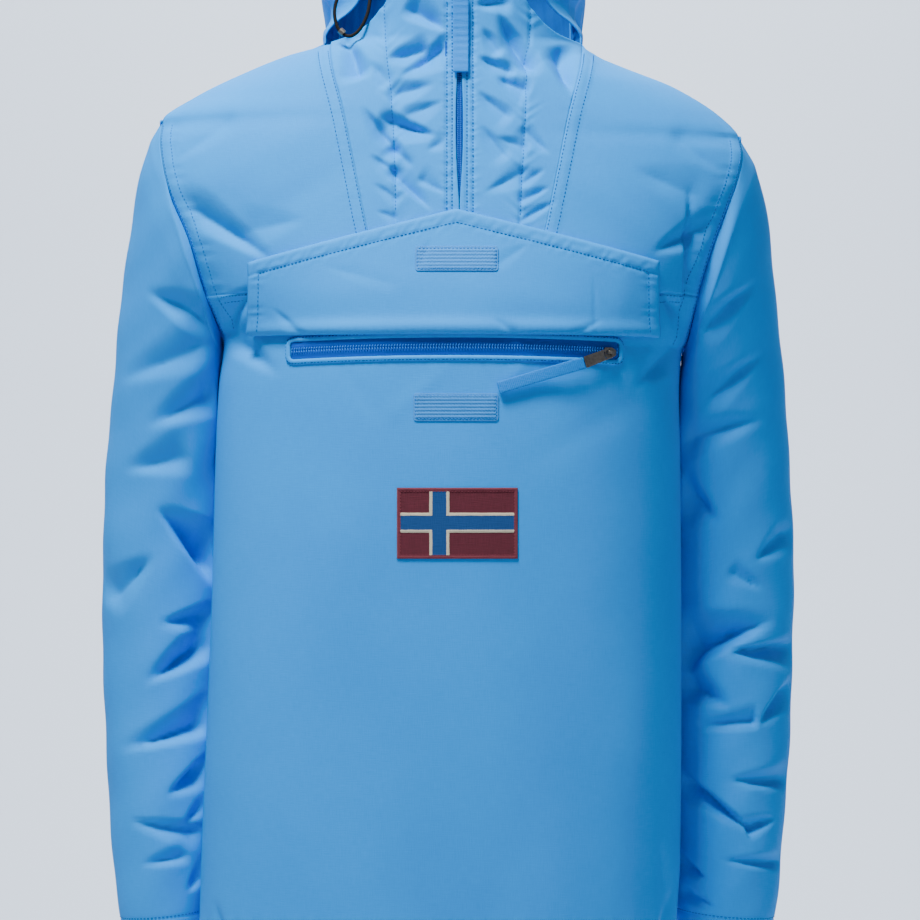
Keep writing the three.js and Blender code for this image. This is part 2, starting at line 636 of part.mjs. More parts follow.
const geometryOf = (solid) => {
  const mesh = solid.getMesh();
  const geometry = new THREE.BufferGeometry();
  geometry.setAttribute("position", new THREE.BufferAttribute(mesh.vertProperties, 3));
  geometry.setIndex(new THREE.BufferAttribute(mesh.triVerts, 1));
  geometry.computeVertexNormals();
  return geometry;
};

function boxFrom(low, high) {
  const size = high.map((value, i) => value - low[i]);
  const box = new THREE.BoxGeometry(...size);
  box.translate(...low.map((value, i) => value + size[i] / 2));
  return box;
}

// A frame on the front: x along the tab's pull direction, z out of the cloth
function pullFrame(x, z, lift, directionDegrees) {
  const origin = onFront(x, z, lift);
  const out = onFront(x, z, lift + 1).sub(origin);
  const direction = directionDegrees * toRadians;
  const aim = new THREE.Vector3(Math.cos(direction), 0, Math.sin(direction));
  const pull = aim.addScaledVector(out, -aim.dot(out)).normalize();
  const across = out.clone().cross(pull);
  return new THREE.Matrix4().makeBasis(pull, across, out).setPosition(origin);
}

// A slider's body with two posts and a bridge over the pivot, which is the frame's origin
function sliderPiece(frame) {
  const bodyTop = -slider.postHeight / 2;
  const outline = new THREE.Shape();
  const half = slider.width / 2;
  const length = slider.length / 2;
  outline.moveTo(-length, -half * 0.55);
  outline.lineTo(-length * 0.2, -half);
  outline.lineTo(length * 0.8, -half);
  outline.lineTo(length, -half * 0.6);
  outline.lineTo(length, half * 0.6);
  outline.lineTo(length * 0.8, half);
  outline.lineTo(-length * 0.2, half);
  outline.lineTo(-length, half * 0.55);
  outline.closePath();
  const base = new THREE.ExtrudeGeometry(outline, { depth: slider.wall, bevelEnabled: false });
  base.translate(0, 0, bodyTop - slider.wall);
  let solid = solidOf(base);
  const postHalf = slider.postWidth / 2;
  for (const at of [-slider.postAt, slider.postAt]) {
    const low = [at - postHalf, -bridge.halfWidth, bodyTop - 0.4];
    const high = [at + postHalf, bridge.halfWidth, -bodyTop + bridge.wall / 2];
    solid = solid.add(solidOf(boxFrom(low, high)));
  }
  const low = [-bridge.halfLength, -bridge.halfWidth, -bodyTop];
  const high = [bridge.halfLength, bridge.halfWidth, -bodyTop + bridge.wall];
  solid = solid.add(solidOf(boxFrom(low, high)));
  return geometryOf(solid).applyMatrix4(frame);
}

// A pull tab: a bar at the pivot, two rails round a window, and a plate with a slot for the ribbon
function tabPiece(frame) {
  const outline = new THREE.Shape();
  outline.moveTo(-tab.barHalf, -tab.railOut);
  outline.lineTo(tab.window, -tab.railOut);
  outline.lineTo(tab.length, -tab.endHalf);
  outline.lineTo(tab.length, tab.endHalf);
  outline.lineTo(tab.window, tab.railOut);
  outline.lineTo(-tab.barHalf, tab.railOut);
  outline.closePath();
  const window = new THREE.Path();
  window.moveTo(tab.barHalf, -tab.railIn);
  window.lineTo(tab.barHalf, tab.railIn);
  window.lineTo(tab.window, tab.railIn);
  window.lineTo(tab.window, -tab.railIn);
  window.closePath();
  outline.holes.push(window);
  const plateShape = new THREE.ExtrudeGeometry(outline, { depth: tab.wall, bevelEnabled: false });
  plateShape.translate(0, 0, -tab.wall / 2);
  return plateShape.applyMatrix4(frame);
}

const tapeTop = lieGap + pocketZip.wall;
const neckPivotLift = lieGap + slider.wall + slider.postHeight / 2;
const pivotLift = tapeTop + neckPivotLift;
const pocketAim = 180 + pocketPull.slopeDegrees;

// The foot on the front of a point that stands off it, and how far it stands
function footOf(point) {
  let x = point.x;
  let z = point.z;
  let lift = 0;
  for (let tries = 0; tries < 6; tries += 1) {
    const foot = onFront(x, z, 0);
    const out = onFront(x, z, 1).sub(foot);
    lift = point.clone().sub(foot).dot(out);
    x = point.x - out.x * lift;
    z = point.z - out.z * lift;
  }
  return { x, z, lift };
}

// The ribbon goes on from the tab's end and settles towards the front
function pocketRibbon(frame) {
  const start = footOf(new THREE.Vector3(tab.length + 2 * lieGap, 0, 0).applyMatrix4(frame));
  const aim = pocketAim * toRadians;
  const half = pocketPull.ribbonWidth / 2;
  const grid = levels(0, 1, 10).map((t) =>
    [-half, 0, half].map((side) => {
      const reach = pocketPull.ribbonLength * t;
      const x = start.x + Math.cos(aim) * reach - Math.sin(aim) * side;
      const z = start.z + Math.sin(aim) * reach + Math.cos(aim) * side;
      const lift = lerp(start.lift, pocketPull.endLift, THREE.MathUtils.smoothstep(t, 0, 1));
      return onFront(x, z, lift + pocketPull.wall / 2);
    }),
  );
  return wallFrom(grid, pocketPull.wall, 1);
}

function neckStrap() {
  const fromZ = neckPull.z - tab.length - lieGap;
  const half = neckPull.strapWidth / 2;
  const grid = levels(neckPull.strapEndZ, fromZ, 8).map((z) =>
    levels(neckPull.x - half, neckPull.x + half, 2).map((x) =>
      onFront(x, z, neckPivotLift + neckPull.wall / 2),
    ),
  );
  return wallFrom(grid, neckPull.wall, 1);
}

function cordPiece() {
  const path = new THREE.CatmullRomCurve3(cordRoute.map((point) => new THREE.Vector3(...point)));
  const ring = new THREE.Shape();
  const sides = 8;
  for (let i = 0; i < sides; i += 1) {
    const turn = (2 * Math.PI * i) / sides;
    const x = cordRadius * Math.cos(turn);
    const y = cordRadius * Math.sin(turn);
    if (i === 0) ring.moveTo(x, y);
    else ring.lineTo(x, y);
  }
  ring.closePath();
  return new THREE.ExtrudeGeometry(ring, { steps: cordSteps, extrudePath: path, bevelEnabled: false });
}

// A short sleeve of metal round the cord
function crimpPiece() {
  const from = new THREE.Vector3(...crimp.from);
  const to = new THREE.Vector3(...crimp.to);
  const length = from.distanceTo(to);
  const hole = cordRadius + 0.7;
  const profile = [
    new THREE.Vector2(hole, -length / 2),
    new THREE.Vector2(crimp.radius, -length / 2),
    new THREE.Vector2(crimp.radius, length / 2),
    new THREE.Vector2(hole, length / 2),
    new THREE.Vector2(hole, -length / 2),
  ];
  const ring = new THREE.LatheGeometry(profile, 14);
  const axis = to.clone().sub(from).normalize();
  const turn = new THREE.Quaternion().setFromUnitVectors(new THREE.Vector3(0, 1, 0), axis);
  ring.applyQuaternion(turn);
  const middle = from.add(to).multiplyScalar(0.5);
  return ring.translate(middle.x, middle.y, middle.z);
}

addPiece("front_body", frontBody(), cloth);
addPiece("back_body", backBody(), cloth);
for (const side of [rightSide, leftSide]) {
  addPiece("front_yoke_" + side.name, frontYoke(side), cloth);
  addPiece("neck_panel_" + side.name, neckPanel(side), cloth);
}
addPiece("sleeve_right", sleeve(rightSide, rightSleeveRows, rightFolds), cloth);
addPiece("sleeve_left", sleeve(leftSide, leftSleeveRows, leftFolds), cloth);
addPiece("hood_right", hoodPanel(-1, -hoodPanelAt, 9, 0, hoodHalfGap), cloth);
addPiece("hood_centre", hoodPanel(-hoodPanelAt, hoodPanelAt, 12, hoodHalfGap, hoodHalfGap), cloth);
addPiece("hood_left", hoodPanel(hoodPanelAt, 1, 9, hoodHalfGap, 0), cloth);
addPiece("pocket_flap", flapPiece(), cloth);
addPiece("hook_tape_upper", plate(upperHook, flap.lift, 8, 1), hookTape);
addPiece("hook_tape_lower", plate(lowerHook, 0, 8, 1), hookTape);
addPiece("flag_patch", plate(patch, 0, 10, 2), patchCloth);
addPiece("pocket_zip_tape", pocketTape(), tapeCloth);
addPiece("neck_zip_tape", neckZipTape(), tapeCloth);

const pocketFrame = pullFrame(pocketPull.x, pocketPull.z, pivotLift, pocketAim);
const pocketSliderFrame = pullFrame(pocketPull.x, pocketPull.z, pivotLift, 180);
addPiece("pocket_zip_slider", sliderPiece(pocketSliderFrame), steel);
addPiece("pocket_zip_tab", tabPiece(pocketFrame), steel);
addPiece("pocket_pull_ribbon", pocketRibbon(pocketFrame), webbing);

const neckFrame = pullFrame(neckPull.x, neckPull.z, neckPivotLift, -90);
addPiece("neck_zip_slider", sliderPiece(neckFrame), steel);
addPiece("neck_zip_tab", tabPiece(neckFrame), steel);
addPiece("neck_pull_strap", neckStrap(), webbing);

addPiece("hood_cord", cordPiece(), cordCloth);
addPiece("cord_crimp", crimpPiece(), steel);

export default anorak;
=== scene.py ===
# Anorak pullover around its frame: metres, +Z up, the front faces -Y, the wearer's right is -X
import math

import bmesh
import bpy
import numpy as np
from mathutils import Matrix, Vector
from mathutils.bvhtree import BVHTree


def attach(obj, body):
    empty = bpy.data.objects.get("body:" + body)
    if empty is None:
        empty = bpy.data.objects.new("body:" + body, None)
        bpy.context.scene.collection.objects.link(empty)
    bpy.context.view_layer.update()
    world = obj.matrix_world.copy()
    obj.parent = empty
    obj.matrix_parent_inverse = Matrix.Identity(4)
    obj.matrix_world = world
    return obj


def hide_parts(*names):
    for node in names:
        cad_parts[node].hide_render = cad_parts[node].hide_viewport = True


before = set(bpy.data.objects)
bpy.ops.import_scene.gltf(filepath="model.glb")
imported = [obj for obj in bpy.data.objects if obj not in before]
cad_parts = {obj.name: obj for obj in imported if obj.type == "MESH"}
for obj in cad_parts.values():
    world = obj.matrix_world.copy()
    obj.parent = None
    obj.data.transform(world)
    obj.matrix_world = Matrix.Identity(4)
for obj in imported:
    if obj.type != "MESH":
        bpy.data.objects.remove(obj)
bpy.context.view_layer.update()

print("frame:", len(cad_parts), "nodes")

# Camera, backdrop and light
view = {
    "eye": (0.003, -3.2, -0.342),
    "angle": 14.1,
    "floorLevel": -1.3,
    "floorFront": -4.5,
    "wallAt": 5.0,
    "wallTop": 4.6,
    "bend": 1.6,
    "halfWidth": 7.0,
    "sky": (0.66, 0.80, 1.0),
    "skyStrength": 0.24,
}
lamps = {
    "key": {
        "at": (-0.5, -0.95, 1.6), "aim": (-0.03, 0.0, -0.2),
        "size": 0.6, "power": 112, "tint": (0.90, 0.97, 1.0),
    },
    "fill": {
        "at": (1.7, -2.9, 0.3), "aim": (0.0, 0.0, -0.4),
        "size": 2.2, "power": 7, "tint": (0.8, 0.9, 1.0),
    },
    "backdrop": {
        "at": (0.0, 2.0, 2.6), "aim": (0.0, 5.0, -0.6),
        "size": 3.0, "power": 420, "tint": (0.93, 0.96, 1.0),
    },
}


def makeCamera():
    camera = bpy.data.objects.new("camera", bpy.data.cameras.new("camera"))
    camera.data.lens_unit = "FOV"
    camera.data.angle = math.radians(view["angle"])
    camera.location = view["eye"]
    camera.rotation_euler = (math.radians(90), 0, 0)
    bpy.context.scene.collection.objects.link(camera)
    bpy.context.scene.camera = camera


def makeLamp(name, facts):
    lamp = bpy.data.objects.new(name, bpy.data.lights.new(name, "AREA"))
    lamp.data.size = facts["size"]
    lamp.data.energy = facts["power"]
    lamp.data.color = facts["tint"]
    lamp.location = facts["at"]
    lamp.visible_camera = False
    aim = Vector(facts["aim"]) - Vector(facts["at"])
    lamp.rotation_euler = aim.to_track_quat("-Z", "Y").to_euler()
    bpy.context.scene.collection.objects.link(lamp)


def makeBackdrop():
    bm = bmesh.new()
    bmesh.ops.create_grid(bm, x_segments=2, y_segments=40, size=0.5)
    bend, wall, floor = view["bend"], view["wallAt"], view["floorLevel"]
    flatRun = wall - bend - view["floorFront"]
    curveRun = bend * math.pi / 2
    total = flatRun + curveRun + view["wallTop"] - floor - bend
    for vert in bm.verts:
        across, run = vert.co.x * 2 * view["halfWidth"], (vert.co.y + 0.5) * total
        if run < flatRun:
            y, z = view["floorFront"] + run, floor
        elif run < flatRun + curveRun:
            turn = (run - flatRun) / bend
            y, z = wall - bend + bend * math.sin(turn), floor + bend - bend * math.cos(turn)
        else:
            y, z = wall, floor + bend + run - flatRun - curveRun
        vert.co = (across, y, z)
    backdrop = addObject("backdrop", bm)
    return backdrop


def addObject(name, bm, smooth=True):
    mesh = bpy.data.meshes.new(name)
    bm.to_mesh(mesh)
    bm.free()
    for polygon in mesh.polygons:
        polygon.use_smooth = smooth
    made = bpy.data.objects.new(name, mesh)
    bpy.context.scene.collection.objects.link(made)
    return made


# Shader nodes
def put(tree, kind, inputs=None, **settings):
    node = tree.nodes.new(kind)
    for key, value in settings.items():
        setattr(node, key, value)
    for key, value in (inputs or {}).items():
        socket = node.inputs[key]
        if isinstance(value, bpy.types.NodeSocket):
            tree.links.new(value, socket)
        else:
            socket.default_value = value
    return node


def newGroup(name, takes, gives):
    group = bpy.data.node_groups.new(name, "ShaderNodeTree")
    for label, kind in takes:
        group.interface.new_socket(label, in_out="INPUT", socket_type="NodeSocket" + kind)
    for label, kind in gives:
        group.interface.new_socket(label, in_out="OUTPUT", socket_type="NodeSocket" + kind)
    return group, group.nodes.new("NodeGroupInput"), group.nodes.new("NodeGroupOutput")


def makeWeaveGroup():
    group, taken, given = newGroup(
        "plainWeave", [("Vector", "Vector"), ("Threads", "Float")], [("Shade", "Float"), ("Height", "Float")]
    )
    scaled = put(
        group, "ShaderNodeVectorMath", {0: taken.outputs[0], "Scale": taken.outputs[1]}, operation="SCALE"
    )
    slubs = []
    for stretch in ((1.0, 0.07, 1.0), (0.07, 1.0, 1.0)):
        drawn = put(group, "ShaderNodeVectorMath", {0: scaled.outputs[0], 1: stretch}, operation="MULTIPLY")
        noise = put(group, "ShaderNodeTexNoise", {"Vector": drawn.outputs[0], "Scale": 1.0, "Detail": 1.5})
        slubs.append(noise.outputs["Fac"])
    both = put(group, "ShaderNodeMath", {0: slubs[0], 1: slubs[1]}, operation="ADD")
    shade = put(group, "ShaderNodeMath", {0: both.outputs[0], 1: 0.5}, operation="MULTIPLY")
    group.links.new(shade.outputs[0], given.inputs["Shade"])
    group.links.new(shade.outputs[0], given.inputs["Height"])
    return group


def makeMottleGroup():
    group, taken, given = newGroup(
        "softMottle", [("Vector", "Vector"), ("Scale", "Float")], [("Shade", "Float")]
    )
    cloud = put(
        group, "ShaderNodeTexNoise", {"Vector": taken.outputs[0], "Scale": taken.outputs[1], "Detail": 3.0}
    )
    group.links.new(cloud.outputs["Fac"], given.inputs["Shade"])
    return group


weaveGroup = makeWeaveGroup()
mottleGroup = makeMottleGroup()


def newMaterial(name, roughness, **sockets):
    material = bpy.data.materials.new(name)
    material.use_nodes = True
    shader = material.node_tree.nodes["Principled BSDF"]
    shader.inputs["Roughness"].default_value = roughness
    for label, value in sockets.items():
        shader.inputs[label.replace("_", " ")].default_value = value
    shader.inputs["Specular IOR Level"].default_value = 0.12
    return material, material.node_tree, shader


def mixColour(tree, share, first, second):
    node = put(tree, "ShaderNodeMix", data_type="RGBA")
    for socket, value in ((node.inputs[0], share), (node.inputs[6], first), (node.inputs[7], second)):
        if isinstance(value, bpy.types.NodeSocket):
            tree.links.new(value, socket)
        else:
            socket.default_value = value
    return node.outputs[2]


def colour(red, green, blue):
    return (red, green, blue, 1.0)


def clothMaterial(name, dark, light, threads, roughness, bump, useCut=True, mottle=9.0):
    material, tree, shader = newMaterial(name, roughness)
    place = put(tree, "ShaderNodeTexCoord")
    where = put(tree, "ShaderNodeUVMap", uv_map="cut").outputs[0] if useCut else place.outputs["Object"]
    weave = put(tree, "ShaderNodeGroup", node_tree=weaveGroup)
    tree.links.new(where, weave.inputs["Vector"])
    weave.inputs["Threads"].default_value = threads
    cloud = put(tree, "ShaderNodeGroup", node_tree=mottleGroup)
    tree.links.new(place.outputs["Object"], cloud.inputs["Vector"])
    cloud.inputs["Scale"].default_value = mottle
    shades = {0: weave.outputs["Shade"], 1: cloud.outputs["Shade"]}
    both = put(tree, "ShaderNodeMath", shades, operation="ADD")
    share = put(tree, "ShaderNodeMapRange", {"Value": both.outputs[0], "From Min": 0.65, "From Max": 1.35})
    tone = mixColour(tree, share.outputs[0], colour(*dark), colour(*light))
    tree.links.new(tone, shader.inputs["Base Color"])
    bumps = {"Height": weave.outputs["Height"], "Strength": bump, "Distance": 0.0004}
    height = put(tree, "ShaderNodeBump", bumps)
    tree.links.new(height.outputs[0], shader.inputs["Normal"])
    return material


shellCloth = clothMaterial("shellCloth", (0.0, 0.27, 0.76), (0.0, 0.33, 0.88), 1300, 0.66, 0.5)
# the hood's inside: the shell's own cloth in a deeper blue, painted shade for the shadow inside the
# pushed-back hood
hoodInsidePaintedShade = clothMaterial("hoodInsidePaintedShade", (0.001, 0.085, 0.36), (0.002, 0.11, 0.44), 1300, 0.7, 0.5)
hookCloth = clothMaterial("hookCloth", (0.02, 0.22, 0.60), (0.06, 0.31, 0.76), 1800, 0.85, 0.8)
tapeCloth = clothMaterial("tapeCloth", (0.0, 0.055, 0.36), (0.002, 0.085, 0.47), 2200, 0.75, 0.8)
webCloth = clothMaterial("webCloth", (0.0, 0.17, 0.58), (0.005, 0.25, 0.76), 900, 0.7, 0.9, False)
threadCloth = clothMaterial("threadCloth", (0.003, 0.085, 0.34), (0.006, 0.12, 0.43), 3000, 0.7, 0.3, False)
patchThread = clothMaterial("patchThread", (0.16, 0.03, 0.04), (0.26, 0.05, 0.07), 3000, 0.7, 0.3, False)
darkThread = clothMaterial("darkThread", (0.0, 0.035, 0.20), (0.001, 0.06, 0.28), 3000, 0.7, 0.3, False)
coilCloth = clothMaterial("coilCloth", (0.01, 0.15, 0.56), (0.03, 0.22, 0.70), 3000, 0.5, 0.2, False)
cordCloth = clothMaterial("cordCloth", (0.008, 0.006, 0.005), (0.022, 0.017, 0.014), 2600, 0.8, 0.9, False)


def metalMaterial():
    material, tree, shader = newMaterial("darkNickel", 0.34, Metallic=1.0)
    place = put(tree, "ShaderNodeTexCoord")
    worn = put(tree, "ShaderNodeTexNoise", {"Vector": place.outputs["Object"], "Scale": 420.0, "Detail": 4.0})
    tone = mixColour(tree, worn.outputs["Fac"], colour(0.13, 0.105, 0.085), colour(0.34, 0.29, 0.245))
    tree.links.new(tone, shader.inputs["Base Color"])
    rough = put(tree, "ShaderNodeMapRange", {"Value": worn.outputs["Fac"], "To Min": 0.26, "To Max": 0.48})
    tree.links.new(rough.outputs[0], shader.inputs["Roughness"])
    return material


def backdropMaterial():
    material, tree, shader = newMaterial("paleBackdrop", 0.9)
    place = put(tree, "ShaderNodeTexCoord")
    cloud = put(tree, "ShaderNodeTexNoise", {"Vector": place.outputs["Object"], "Scale": 0.6})
    tone = mixColour(tree, cloud.outputs["Fac"], colour(0.60, 0.655, 0.74), colour(0.64, 0.69, 0.77))
    tree.links.new(tone, shader.inputs["Base Color"])
    return material


darkNickel = metalMaterial()
makeCamera()
for lampName, lampFacts in lamps.items():
    makeLamp(lampName, lampFacts)
makeBackdrop().data.materials.append(backdropMaterial())
world = bpy.data.worlds.new("studio")
world.use_nodes = True
world.node_tree.nodes["Background"].inputs["Color"].default_value = (*view["sky"], 1.0)
world.node_tree.nodes["Background"].inputs["Strength"].default_value = view["skyStrength"]
bpy.context.scene.world = world
print("camera, light and materials")


def dress(piece, material, body="garment", nodes=()):
    piece.data.materials.append(material)
    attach(piece, body)
    if nodes:
        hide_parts(*nodes)
    return piece


# Drawcord, first: an elastic loop on the wearer's right of the hood
cordFacts = {
    "radius": 0.0015,
    "stepsBetween": 8,
    "route": [
        (-0.0749, -0.0483, 0.0925), (-0.0739, -0.051, 0.0916), (-0.0755, -0.0575, 0.088),
        (-0.081, -0.063, 0.079), (-0.089, -0.067, 0.067), (-0.096, -0.0695, 0.055),
        (-0.101, -0.071, 0.044), (-0.1025, -0.072, 0.033), (-0.1, -0.073, 0.022),
        (-0.094, -0.074, 0.0155), (-0.088, -0.075, 0.0145), (-0.081, -0.076, 0.02),
        (-0.075, -0.076, 0.032), (-0.0725, -0.075, 0.046), (-0.0714, -0.0715, 0.061),
        (-0.0708, -0.066, 0.073), (-0.0709, -0.059, 0.082), (-0.0724, -0.052, 0.086),
        (-0.07445, -0.0472, 0.087),
    ],
}


def between(a, b, c, d, t):
    # the smooth line from b to c, between the points before and after them
    bend = (c - a) * t + (2 * a - 5 * b + 4 * c - d) * t * t + (3 * b - a - 3 * c + d) * t ** 3
    return b + 0.5 * bend


def through(points, steps):
    # a smooth line through the points, with so many steps between two of them
    knots = [Vector(points[0]), *map(Vector, points), Vector(points[-1])]
    line = []
    for k in range(1, len(knots) - 2):
        line += [between(*knots[k - 1 : k + 3], step / steps) for step in range(steps)]
    return [*line, knots[-1]]


def makeCord():
    line = through(cordFacts["route"], cordFacts["stepsBetween"])
    curve = bpy.data.curves.new("hoodCord", "CURVE")
    curve.dimensions = "3D"
    spline = curve.splines.new("POLY")
    spline.points.add(len(line) - 1)
    for point, place in zip(spline.points, line):
        point.co = (*place, 1.0)
    curve.bevel_depth = cordFacts["radius"]
    curve.bevel_resolution = 4
    curve.use_fill_caps = True
    cord = bpy.data.objects.new("hoodCord", curve)
    bpy.context.scene.collection.objects.link(cord)
    dress(cord, cordCloth, nodes=["hood_cord"])
    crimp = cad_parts["cord_crimp"]
    crimp.data.materials.clear()
    crimp.data.materials.append(darkNickel)


makeCord()


# The garment's form
chestSeam = -0.203
form = {
    "hem": -0.76,
    "hemStitch": 0.0225,
    "neckSeam": 0.014,
    "ventTop": -0.723,
    "ventFrontCut": 0.013,
    "ventBackCut": 0.004,
    "roundness": 0.86,
    "bodyClearance": 0.004,
    "sleeveClearance": 0.0006,
    "hoodSideAt": 0.78,
    "hoodPanelAt": 0.4,
    "zipX": 0.0025,
    "slitTop": 0.004,
    "slitBottom": -0.128,
    "slitHalf": 0.0029,
    "slitEdge": 0.0003,
}
bodyDepth = {
    "z": (-0.76, -0.56, -0.34, -0.24, -0.203, -0.144, -0.097, -0.055, -0.02, 0.014, 0.045, 0.09),
    "front": (0.136, 0.139, 0.142, 0.14, 0.136, 0.125, 0.117, 0.109, 0.102, 0.097, 0.098, 0.101),
    "back": (0.12, 0.118, 0.122, 0.124, 0.124, 0.122, 0.116, 0.103, 0.088, 0.075, 0.074, 0.074),
}
# Below the armpit each side is one seam at the middle plane, above it the armhole and the shoulder
rightEdge = {
    "armpit": -0.239,
    "shoulder": -0.052,
    "z": (-0.76, -0.681, -0.557, -0.456, -0.341, -0.28, -0.239, -0.23, -0.218, -0.195, -0.157, -0.116,
          -0.09, -0.068, -0.052, -0.031, -0.007, 0.004, 0.014, 0.045, 0.09),
    "half": (0.221, 0.219, 0.214, 0.21, 0.207, 0.204, 0.1995, 0.202, 0.206, 0.214, 0.225, 0.242,
             0.249, 0.252, 0.251, 0.222, 0.172, 0.144, 0.113, 0.105, 0.104),
    "frontEdge": (0, 0, 0, 0, 0, 0, 0, 0.025, 0.039, 0.052, 0.06, 0.056,
                  0.047, 0.033, 0.018, 0.018, 0.018, 0.018, 0.018, 0.018, 0.018),
    "backEdge": (0, 0, 0, 0, 0, 0, 0, 0.024, 0.038, 0.052, 0.062, 0.062,
                 0.052, 0.03, -0.018, -0.018, -0.018, -0.018, -0.018, -0.018, -0.018),
    "frontTurn": (90, 90, 90, 90, 90, 90, 90, 80, 73, 67, 62, 60, 60, 63, 66, 66, 66, 66, 66, 66, 66),
    "backTurn": (90, 90, 90, 90, 90, 90, 90, 82, 75, 69, 64, 62, 66, 76, 96, 100, 100, 100, 100, 100, 100),
}
leftEdge = {
    "armpit": -0.252,
    "shoulder": -0.066,
    "z": (-0.76, -0.681, -0.557, -0.341, -0.29, -0.252, -0.242, -0.228, -0.203, -0.165, -0.125, -0.1,
          -0.08, -0.066, -0.05, -0.024, -0.006, 0.004, 0.014, 0.045, 0.09),
    "half": (0.188, 0.192, 0.193, 0.192, 0.191, 0.193, 0.196, 0.199, 0.204, 0.215, 0.23, 0.239,
             0.243, 0.241, 0.227, 0.187, 0.142, 0.119, 0.107, 0.104, 0.104),
    "frontEdge": (0, 0, 0, 0, 0, 0, 0.025, 0.039, 0.052, 0.06, 0.056, 0.047,
                  0.033, 0.018, 0.018, 0.018, 0.018, 0.018, 0.018, 0.018, 0.018),
    "backEdge": (0, 0, 0, 0, 0, 0, 0.024, 0.038, 0.052, 0.062, 0.062, 0.052,
                 0.03, -0.018, -0.018, -0.018, -0.018, -0.018, -0.018, -0.018, -0.018),
    "frontTurn": (90, 90, 90, 90, 90, 90, 80, 73, 67, 62, 60, 60, 63, 66, 66, 66, 66, 66, 66, 66, 66),
    "backTurn": (90, 90, 90, 90, 90, 90, 82, 75, 69, 64, 62, 66, 76, 96, 100, 100, 100, 100, 100, 100, 100),
}
neckSeamLine = {"z": (-0.203, -0.144, -0.06, 0.014), "x": (0.063, 0.075, 0.092, 0.107)}
neckTopEdge = {
    "x": (0, 0.03, 0.052, 0.061, 0.076, 0.089, 0.107),
    "z": (0.088, 0.076, 0.054, 0.04, 0.024, 0.017, 0.014),
}


def valueAt(table, key, at, by="z"):
    # a value between the rows of a table, with no overshoot
    x, y = np.array(table[by], float), np.array(table[key], float)
    if x[0] > x[-1]:
        x, y = x[::-1], y[::-1]
    secant = np.diff(y) / np.diff(x)
    slope = np.zeros(len(x))
    before, after = secant[:-1], secant[1:]
    same = before * after > 0
    slope[1:-1][same] = 2 * before[same] * after[same] / (before[same] + after[same])
    at = np.clip(at, x[0], x[-1])
    i = np.clip(np.searchsorted(x, at, side="right") - 1, 0, len(x) - 2)
    run = x[i + 1] - x[i]
    t = (at - x[i]) / run
    bend = t * t * (3 - 2 * t) * (y[i + 1] - y[i])
    return y[i] + bend + t * (1 - t) ** 2 * slope[i] * run - t * t * (1 - t) * slope[i + 1] * run


def smooth(value, low, high):
    t = np.clip((value - low) / (high - low), 0, 1)
    return t * t * (3 - 2 * t)


def squared(value):
    return np.sign(value) * np.abs(value) ** form["roundness"]


def bySide(x, key, z):
    return np.where(x < 0, valueAt(rightEdge, key, z), valueAt(leftEdge, key, z))


def bodyPoint(z, s, face):
    # s runs from -1, the right edge, to 1, the left edge
    half, edge = bySide(s, "half", z), bySide(s, face + "Edge", z)
    turn = np.radians(bySide(s, face + "Turn", z))
    angle = np.abs(s) * turn
    endCos = squared(np.cos(turn))
    x = np.sign(s) * half * squared(np.sin(angle)) / squared(np.sin(turn))
    share = (squared(np.cos(angle)) - endCos) / (1 - endCos)
    y = edge + (valueAt(bodyDepth, face, z) - edge) * share
    return np.stack([x, -y if face == "front" else y, z + 0 * x], axis=-1)


def sAtX(z, x, face):
    half, turn = bySide(x, "half", z), np.radians(bySide(x, face + "Turn", z))
    sine = np.clip(np.abs(x) / half * squared(np.sin(turn)), 0, 1) ** (1 / form["roundness"])
    return np.sign(x) * np.arcsin(np.clip(sine, 0, 1)) / turn


def onBody(x, z, face):
    return bodyPoint(z, sAtX(z, x, face), face)


def offFace(x, z, face, lift=0.0):
    # a point that stands off the front's or back's form by its lift
    x, z = np.asarray(x, float), np.asarray(z, float)
    sign, step = (1 if face == "front" else -1), 0.002
    slopeX = (onBody(x + step, z, face) - onBody(x - step, z, face))[..., 1] / (2 * step)
    slopeZ = (onBody(x, z + step, face) - onBody(x, z - step, face))[..., 1] / (2 * step)
    normal = np.stack([slopeX, -np.ones_like(slopeX), slopeZ], axis=-1) * sign
    normal /= np.linalg.norm(normal, axis=-1, keepdims=True)
    return onBody(x, z, face) + normal * np.asarray(lift)[..., None]


def onFront(x, z, lift=0.0):
    return offFace(x, z, "front", lift)


def evenly(pointAt, v, u, startTrim=0.0, endTrim=0.0):
    # points spaced evenly along each row, trimmed at its ends
    fine = np.linspace(0, 1, 181)
    line = pointAt(v, np.broadcast_to(fine, (len(v), len(fine))))
    steps = np.linalg.norm(np.diff(line, axis=1), axis=2)
    lengths = np.concatenate([np.zeros((len(v), 1)), np.cumsum(steps, axis=1)], axis=1)
    want = startTrim + u * (lengths[:, -1:] - startTrim - endTrim)
    share = np.stack([np.interp(row, length, fine) for row, length in zip(want, lengths)])
    return pointAt(v, share)


def gridNormals(points, ring):
    across = np.gradient(points, axis=1)
    if ring:
        across[:, 0] = across[:, -1] = points[:, 1] - points[:, -2]
    along = np.gradient(points, axis=0)
    normals = np.cross(across, along)
    return normals / np.maximum(np.linalg.norm(normals, axis=2, keepdims=True), 1e-12)


